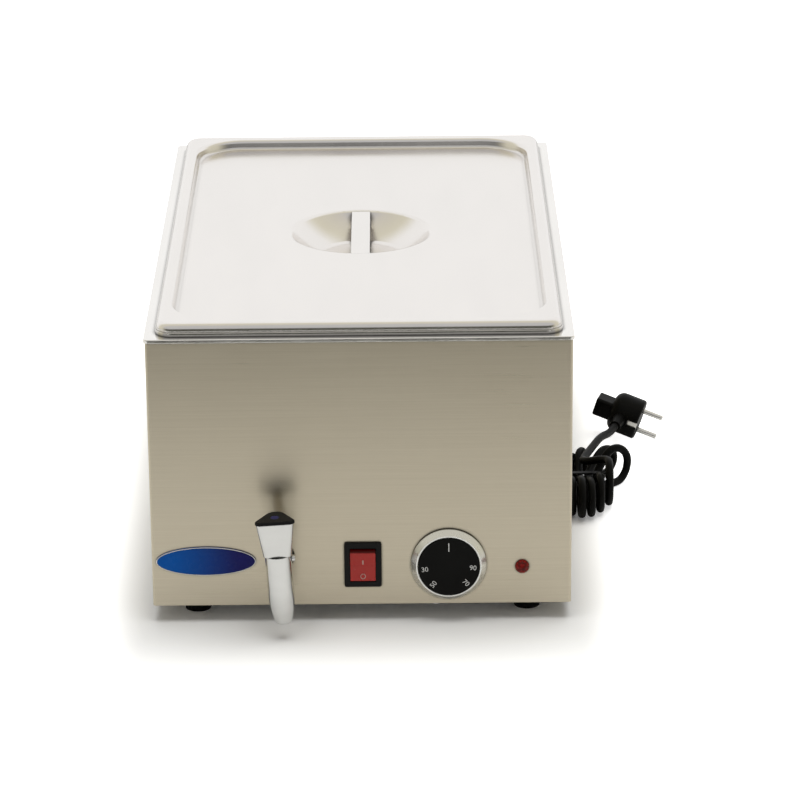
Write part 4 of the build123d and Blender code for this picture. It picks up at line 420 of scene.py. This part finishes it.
# Mains cord, in metres; its control points, in mm, go from the strain relief round the corner,
# through the tied hank, to the plug
CORD_DIAMETER = 0.007
LEAD = [
    (92, 316.1, 45), (92, 342.1, 45), (103, 365.5, 40.5), (125, 379.5, 32), (151, 378.5, 22),
    (172.3, 363.6, 12.5), (183.3, 340, 6), (184.5, 311, 3.6), (181.5, 277, 3.6),
    (183.5, 240, 3.6), (181, 200, 3.6), (182.5, 162, 3.6), (179.5, 131, 3.6), (179.5, 107, 3.6),
]
ENTRY = (179.5, 92, 3.6)
TAIL = [(212.6, 88, 29.6), (223, 114.3, 22.9), (227.62, 130.69, 22.86)]

# Hank: its points are set from its own middle line
HANK_X = 198.0
FLOOR_Z = 3.6
LOBE_PITCH = 8.3
WAIST_PITCH = 7.7
# Knee and top height of each front lobe
LOBES = [(-24, 31), (-29, 33.5), (-27, 31), (-17, 32.5), (0, 40)]
# Top strand, end and foot strand of each back bight
BIGHTS = [
    ((-14.5, 56, 22), (-10.3, 67), (-6.1, 56, 3.6)),
    ((-5.5, 62, 25), (-1.3, 74.5), (2.9, 62, 3.6)),
    ((16, 66, 25.5), (25.5, 76), (16.5, 63, 3.6)),
    ((24, 47, 34), (36.5, 55), (27, 44, 3.6)),
]
# Y and Z of the strands where they pass under and over the tie
UNDER_TIE = [(34.5, 5.4), (25.5, 5.4)]
OVER_TIE = [(22.5, 13.0), (37.5, 13.0)]
OUT = [(-6, 24, 30.2), (-2, 40, 29.6), (6.7, 65.4, 29.6)]
FOLD_SIDE = 0.414


def fold(top, end, foot):
    """Six points of one fold, half an octagon from its top strand round its end to its foot."""
    middle, half = (top[2] + foot[2]) / 2, (top[2] - foot[2]) / 2

    def along(strand, share):
        return tuple(a + share * (b - a) for a, b in zip(strand[:2], end)) + (strand[2],)

    return [
        along(top, -FOLD_SIDE), along(top, FOLD_SIDE), (*end, middle + FOLD_SIDE * half),
        (*end, middle - FOLD_SIDE * half), along(foot, FOLD_SIDE), along(foot, -FOLD_SIDE),
    ]


def hank_points():
    """Turns of the hank: under the tie, round the front lobe, over the tie, round the bight."""
    points = []
    for turn, (knee, top) in enumerate(LOBES):
        place = turn - len(LOBES) // 2
        lobe_x, waist_x = place * LOBE_PITCH, place * WAIST_PITCH
        front = (lobe_x, knee - (top - FLOOR_Z) / 2)
        points += [(waist_x, y, z) for y, z in UNDER_TIE]
        points += reversed(fold((lobe_x, knee, top), front, (lobe_x, knee, FLOOR_Z)))
        if turn < len(BIGHTS):
            points += [(waist_x, y, z) for y, z in OVER_TIE]
            points += fold(*BIGHTS[turn])
    return [(HANK_X + x, y, z) for x, y, z in points + OUT]


def make_cord():
    route = LEAD + [ENTRY] + hank_points() + TAIL
    curve = bpy.data.curves.new("mains_cord", "CURVE")
    curve.dimensions = "3D"
    curve.bevel_depth = CORD_DIAMETER / 2
    curve.bevel_resolution = 6
    curve.resolution_u = 8
    curve.use_fill_caps = True
    spline = curve.splines.new("NURBS")
    spline.points.add(len(route) - 1)
    for point, (x, y, z) in zip(spline.points, route):
        point.co = (x / 1000, y / 1000, z / 1000, 1)
    spline.order_u = 3
    spline.use_endpoint_u = True
    cord = shown("mains_cord", curve, cord_black, "base")
    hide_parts("cord_lead", "cord_hank", "cord_tail")


make_cord()


# Printed and small pieces of the controls
def bar(half_width, low, high):
    """Outline of an upright bar."""
    return [(-half_width, low), (half_width, low), (half_width, high), (-half_width, high)]


def flat_piece(name, outline, thickness, matrix, made, body):
    """Thin raised piece from a closed outline in its own plane, placed by a matrix."""
    mesh = bpy.data.meshes.new(name)
    builder = bmesh.new()
    face = builder.faces.new([builder.verts.new((x, y, 0)) for x, y in outline])
    lifted = bmesh.ops.extrude_face_region(builder, geom=[face])
    moved = [item for item in lifted["geom"] if isinstance(item, bmesh.types.BMVert)]
    bmesh.ops.translate(builder, verts=moved, vec=(0, 0, thickness))
    bmesh.ops.recalc_face_normals(builder, faces=builder.faces)
    builder.transform(matrix)
    builder.to_mesh(mesh)
    builder.free()
    shown(name, mesh, made, body)


RING_POINTS = 96


def ring_curve(name, half_width, half_height, thickness, matrix, made, body):
    """Closed round wire along an ellipse."""
    curve = bpy.data.curves.new(name, "CURVE")
    curve.dimensions = "3D"
    curve.bevel_depth = thickness / 2
    curve.bevel_resolution = 3
    spline = curve.splines.new("POLY")
    spline.points.add(RING_POINTS - 1)
    for index, point in enumerate(spline.points):
        angle = 2 * pi * index / RING_POINTS
        spot = matrix @ Vector((half_width * cos(angle), half_height * sin(angle), 0))
        point.co = (*spot, 1)
    spline.use_cyclic_u = True
    shown(name, curve, made, body)


def facing_front(spot):
    """Matrix of a plane at a spot that looks towards the front, its Y upright."""
    return Matrix.Translation(spot) @ Matrix.Rotation(pi / 2, 4, "X")


# Dial: white index line, and numbers that lie along the radius, by their hour on a clock face
NUMBERS = (("30", 8.79), ("50", 7.32), ("70", 4.52), ("90", 3.1))
NUMBER_RADIUS = 0.0196
NUMBER_SIZE = 0.0058
NUMBER_RELIEF = 0.0001
INDEX_LINE = bar(half_width=0.0004, low=0.0135, high=0.0208)
INDEX_RELIEF = 0.0002


def add_number(number, hour):
    turn = radians(30 * hour)
    lean = pi / 2 - turn + (pi if turn > pi else 0)
    spot = Vector((NUMBER_RADIUS * sin(turn), -NUMBER_RELIEF, NUMBER_RADIUS * cos(turn)))
    text = bpy.data.curves.new("dial_number_" + number, "FONT")
    text.body = number
    text.size = NUMBER_SIZE
    text.align_x = "CENTER"
    text.align_y = "CENTER"
    text.extrude = NUMBER_RELIEF
    matrix = facing_front(KNOB + spot) @ Matrix.Rotation(lean, 4, "Z")
    shown("dial_number_" + number, text, white_print, "knob", matrix)


flat_piece(
    "dial_index", INDEX_LINE, INDEX_RELIEF, facing_front(KNOB), white_print, "knob"
)
for number, hour in NUMBERS:
    add_number(number, hour)

# Rocker: an upright stroke on the upper half and a ring on the lower half
ON_STROKE = bar(half_width=0.0006, low=-0.0021, high=0.0021)
ON_RELIEF = 0.00012


def on_rocker(height, depth, lean):
    """Matrix of a plane on the rocker's face, by height from its middle, depth and lean."""
    spot = SWITCH + Vector((0, -depth, height))
    return facing_front(spot) @ Matrix.Rotation(radians(lean), 4, "X")


flat_piece(
    "rocker_on_mark", ON_STROKE, ON_RELIEF,
    on_rocker(height=0.00299, depth=0.00350, lean=18.0), mark_print, "rocker",
)
ring_curve(
    "rocker_off_mark", half_width=0.0019, half_height=0.0021, thickness=0.0007,
    matrix=on_rocker(height=-0.0098, depth=0.00236, lean=0.0),
    made=mark_print, body="rocker",
)

# Oval plate: bright rim
ring_curve(
    "plate_rim", half_width=0.0400, half_height=0.0120, thickness=0.0009,
    matrix=facing_front(PLATE), made=chrome, body="base",
)

# Studio: pale floor, white backdrop with a dimmer room in front of it, soft lights
FLOOR_OUTLINE = [(-2, -0.90, 0), (2, -0.90, 0), (2, 2.6, 0), (-2, 2.6, 0)]
FLOOR_COLORS = (0.91, 0.91, 0.90), (0.93, 0.93, 0.92)
NEAR_GLOW = 0.01
# Painted light: from this footprint outwards the floor glows for camera rays, fading to white
# over this distance and whitening the object's shadow there
FOOTPRINT_CENTRE = (0, 0.022, 0)
FOOTPRINT_HALF = (0.171, 0.27, 1)
FADE_STRETCH = (3.6, 1, 1)
FADE_REACH = (0.0, 0.28)


def camera_or_mirror(tree):
    """1 for rays from the camera, a reflection or a clear body, 0 for rays that light."""
    path = add_node(tree, "ShaderNodeLightPath")
    value = path.outputs["Is Camera Ray"]
    for name in ("Is Glossy Ray", "Is Transmission Ray"):
        value = reckoned(tree, "MAXIMUM", value, path.outputs[name])
    return value


def make_floor():
    made, tree, shader = new_material("floor", Roughness=0.9, Specular_IOR_Level=0.0)
    mottle = stretched_noise(tree, (6.0, 6.0, 6.0), detail=2.0, roughness=0.5)
    tree.links.new(tint(tree, mottle, *FLOOR_COLORS), shader.inputs["Base Color"])
    # Painted light: a glow for camera rays only, none at the footprint and full white at the
    # reach
    away = outside(tree, FOOTPRINT_CENTRE, FOOTPRINT_HALF, FADE_STRETCH)
    painted_floor_light = mapped(tree, away, FADE_REACH, ease="SMOOTHSTEP")
    path = add_node(tree, "ShaderNodeLightPath")
    backdrop = reckoned(tree, "MULTIPLY", painted_floor_light, path.outputs["Is Camera Ray"])
    strength = reckoned(tree, "MULTIPLY_ADD", camera_or_mirror(tree), NEAR_GLOW, backdrop)
    glow = add_node(tree, "ShaderNodeEmission", Color=(1, 1, 1, 1))
    tree.links.new(strength, glow.inputs["Strength"])
    total = add_node(tree, "ShaderNodeAddShader")
    tree.links.new(shader.outputs[0], total.inputs[0])
    tree.links.new(glow.outputs[0], total.inputs[1])
    tree.links.new(total.outputs[0], tree.nodes["Material Output"].inputs["Surface"])
    mesh = bpy.data.meshes.new("floor")
    mesh.from_pydata(FLOOR_OUTLINE, [], [(0, 1, 2, 3)])
    floor = bpy.data.objects.new("floor", mesh)
    mesh.materials.append(made)
    scene.collection.objects.link(floor)


# Room from front to back, by share of the way, and how much it lifts with height
ROOM = [
    (0.10, (0.09, 0.09, 0.075)),
    (0.32, (0.68, 0.65, 0.53)),
    (0.56, (0.74, 0.71, 0.58)),
    (0.72, (1.0, 1.0, 1.0)),
]
LIFT_HEIGHTS = (0.10, 0.36)
LIFT = (0.0, 0.58)
ROOM_LIGHT = 0.40


def make_world():
    """White backdrop behind, pale ceiling, dim room in front."""
    world = bpy.data.worlds.new("studio")
    scene.world = world
    world.use_nodes = True
    tree = world.node_tree
    way = add_node(tree, "ShaderNodeTexCoord")
    split = add_node(tree, "ShaderNodeSeparateXYZ")
    tree.links.new(way.outputs["Generated"], split.inputs["Vector"])
    ramp = add_node(tree, "ShaderNodeValToRGB")
    for stop, (position, color) in enumerate(ROOM):
        elements = ramp.color_ramp.elements
        element = elements[0] if stop == 0 else elements.new(position)
        element.position = position
        element.color = (*color, 1)
    tree.links.new(mapped(tree, split.outputs["Y"], (-1.0, 1.0)), ramp.inputs["Fac"])
    lift = mapped(tree, split.outputs["Z"], LIFT_HEIGHTS, LIFT, "SMOOTHSTEP")
    walls = blended(tree, ramp.outputs["Color"], lift, "LIGHTEN")
    room = tree.nodes["Background"]
    room.inputs["Strength"].default_value = ROOM_LIGHT
    tree.links.new(walls, room.inputs["Color"])
    mirrored = add_node(tree, "ShaderNodeBackground", Strength=1.0)
    tree.links.new(walls, mirrored.inputs["Color"])
    white = add_node(tree, "ShaderNodeBackground", Color=(1, 1, 1, 1), Strength=1.0)
    path = add_node(tree, "ShaderNodeLightPath")
    surface = room
    for share, other in (
        (camera_or_mirror(tree), mirrored),
        (path.outputs["Is Camera Ray"], white),
    ):
        choice = add_node(tree, "ShaderNodeMixShader")
        tree.links.new(share, choice.inputs["Fac"])
        tree.links.new(surface.outputs[0], choice.inputs[1])
        tree.links.new(other.outputs[0], choice.inputs[2])
        surface = choice
    tree.links.new(surface.outputs[0], tree.nodes["World Output"].inputs["Surface"])


def add_softbox(name, spot, target, width, height, power):
    data = bpy.data.lights.new(name, "AREA")
    data.shape = "RECTANGLE"
    data.size = width
    data.size_y = height
    data.energy = power
    lamp = bpy.data.objects.new(name, data)
    aim = (Vector(target) - Vector(spot)).to_track_quat("-Z", "Y")
    lamp.matrix_world = Matrix.Translation(spot) @ aim.to_matrix().to_4x4()
    lamp.visible_glossy = False
    scene.collection.objects.link(lamp)


make_floor()
make_world()
add_softbox("overhead", (0.1, -0.15, 2.0), (0.0, -0.1, 0.1), width=2.0, height=1.8, power=37.0)
add_softbox("front_fill", (-1.6, -2.6, 1.9), (0.0, -0.2, 0.1), width=1.2, height=1.2, power=6.0)
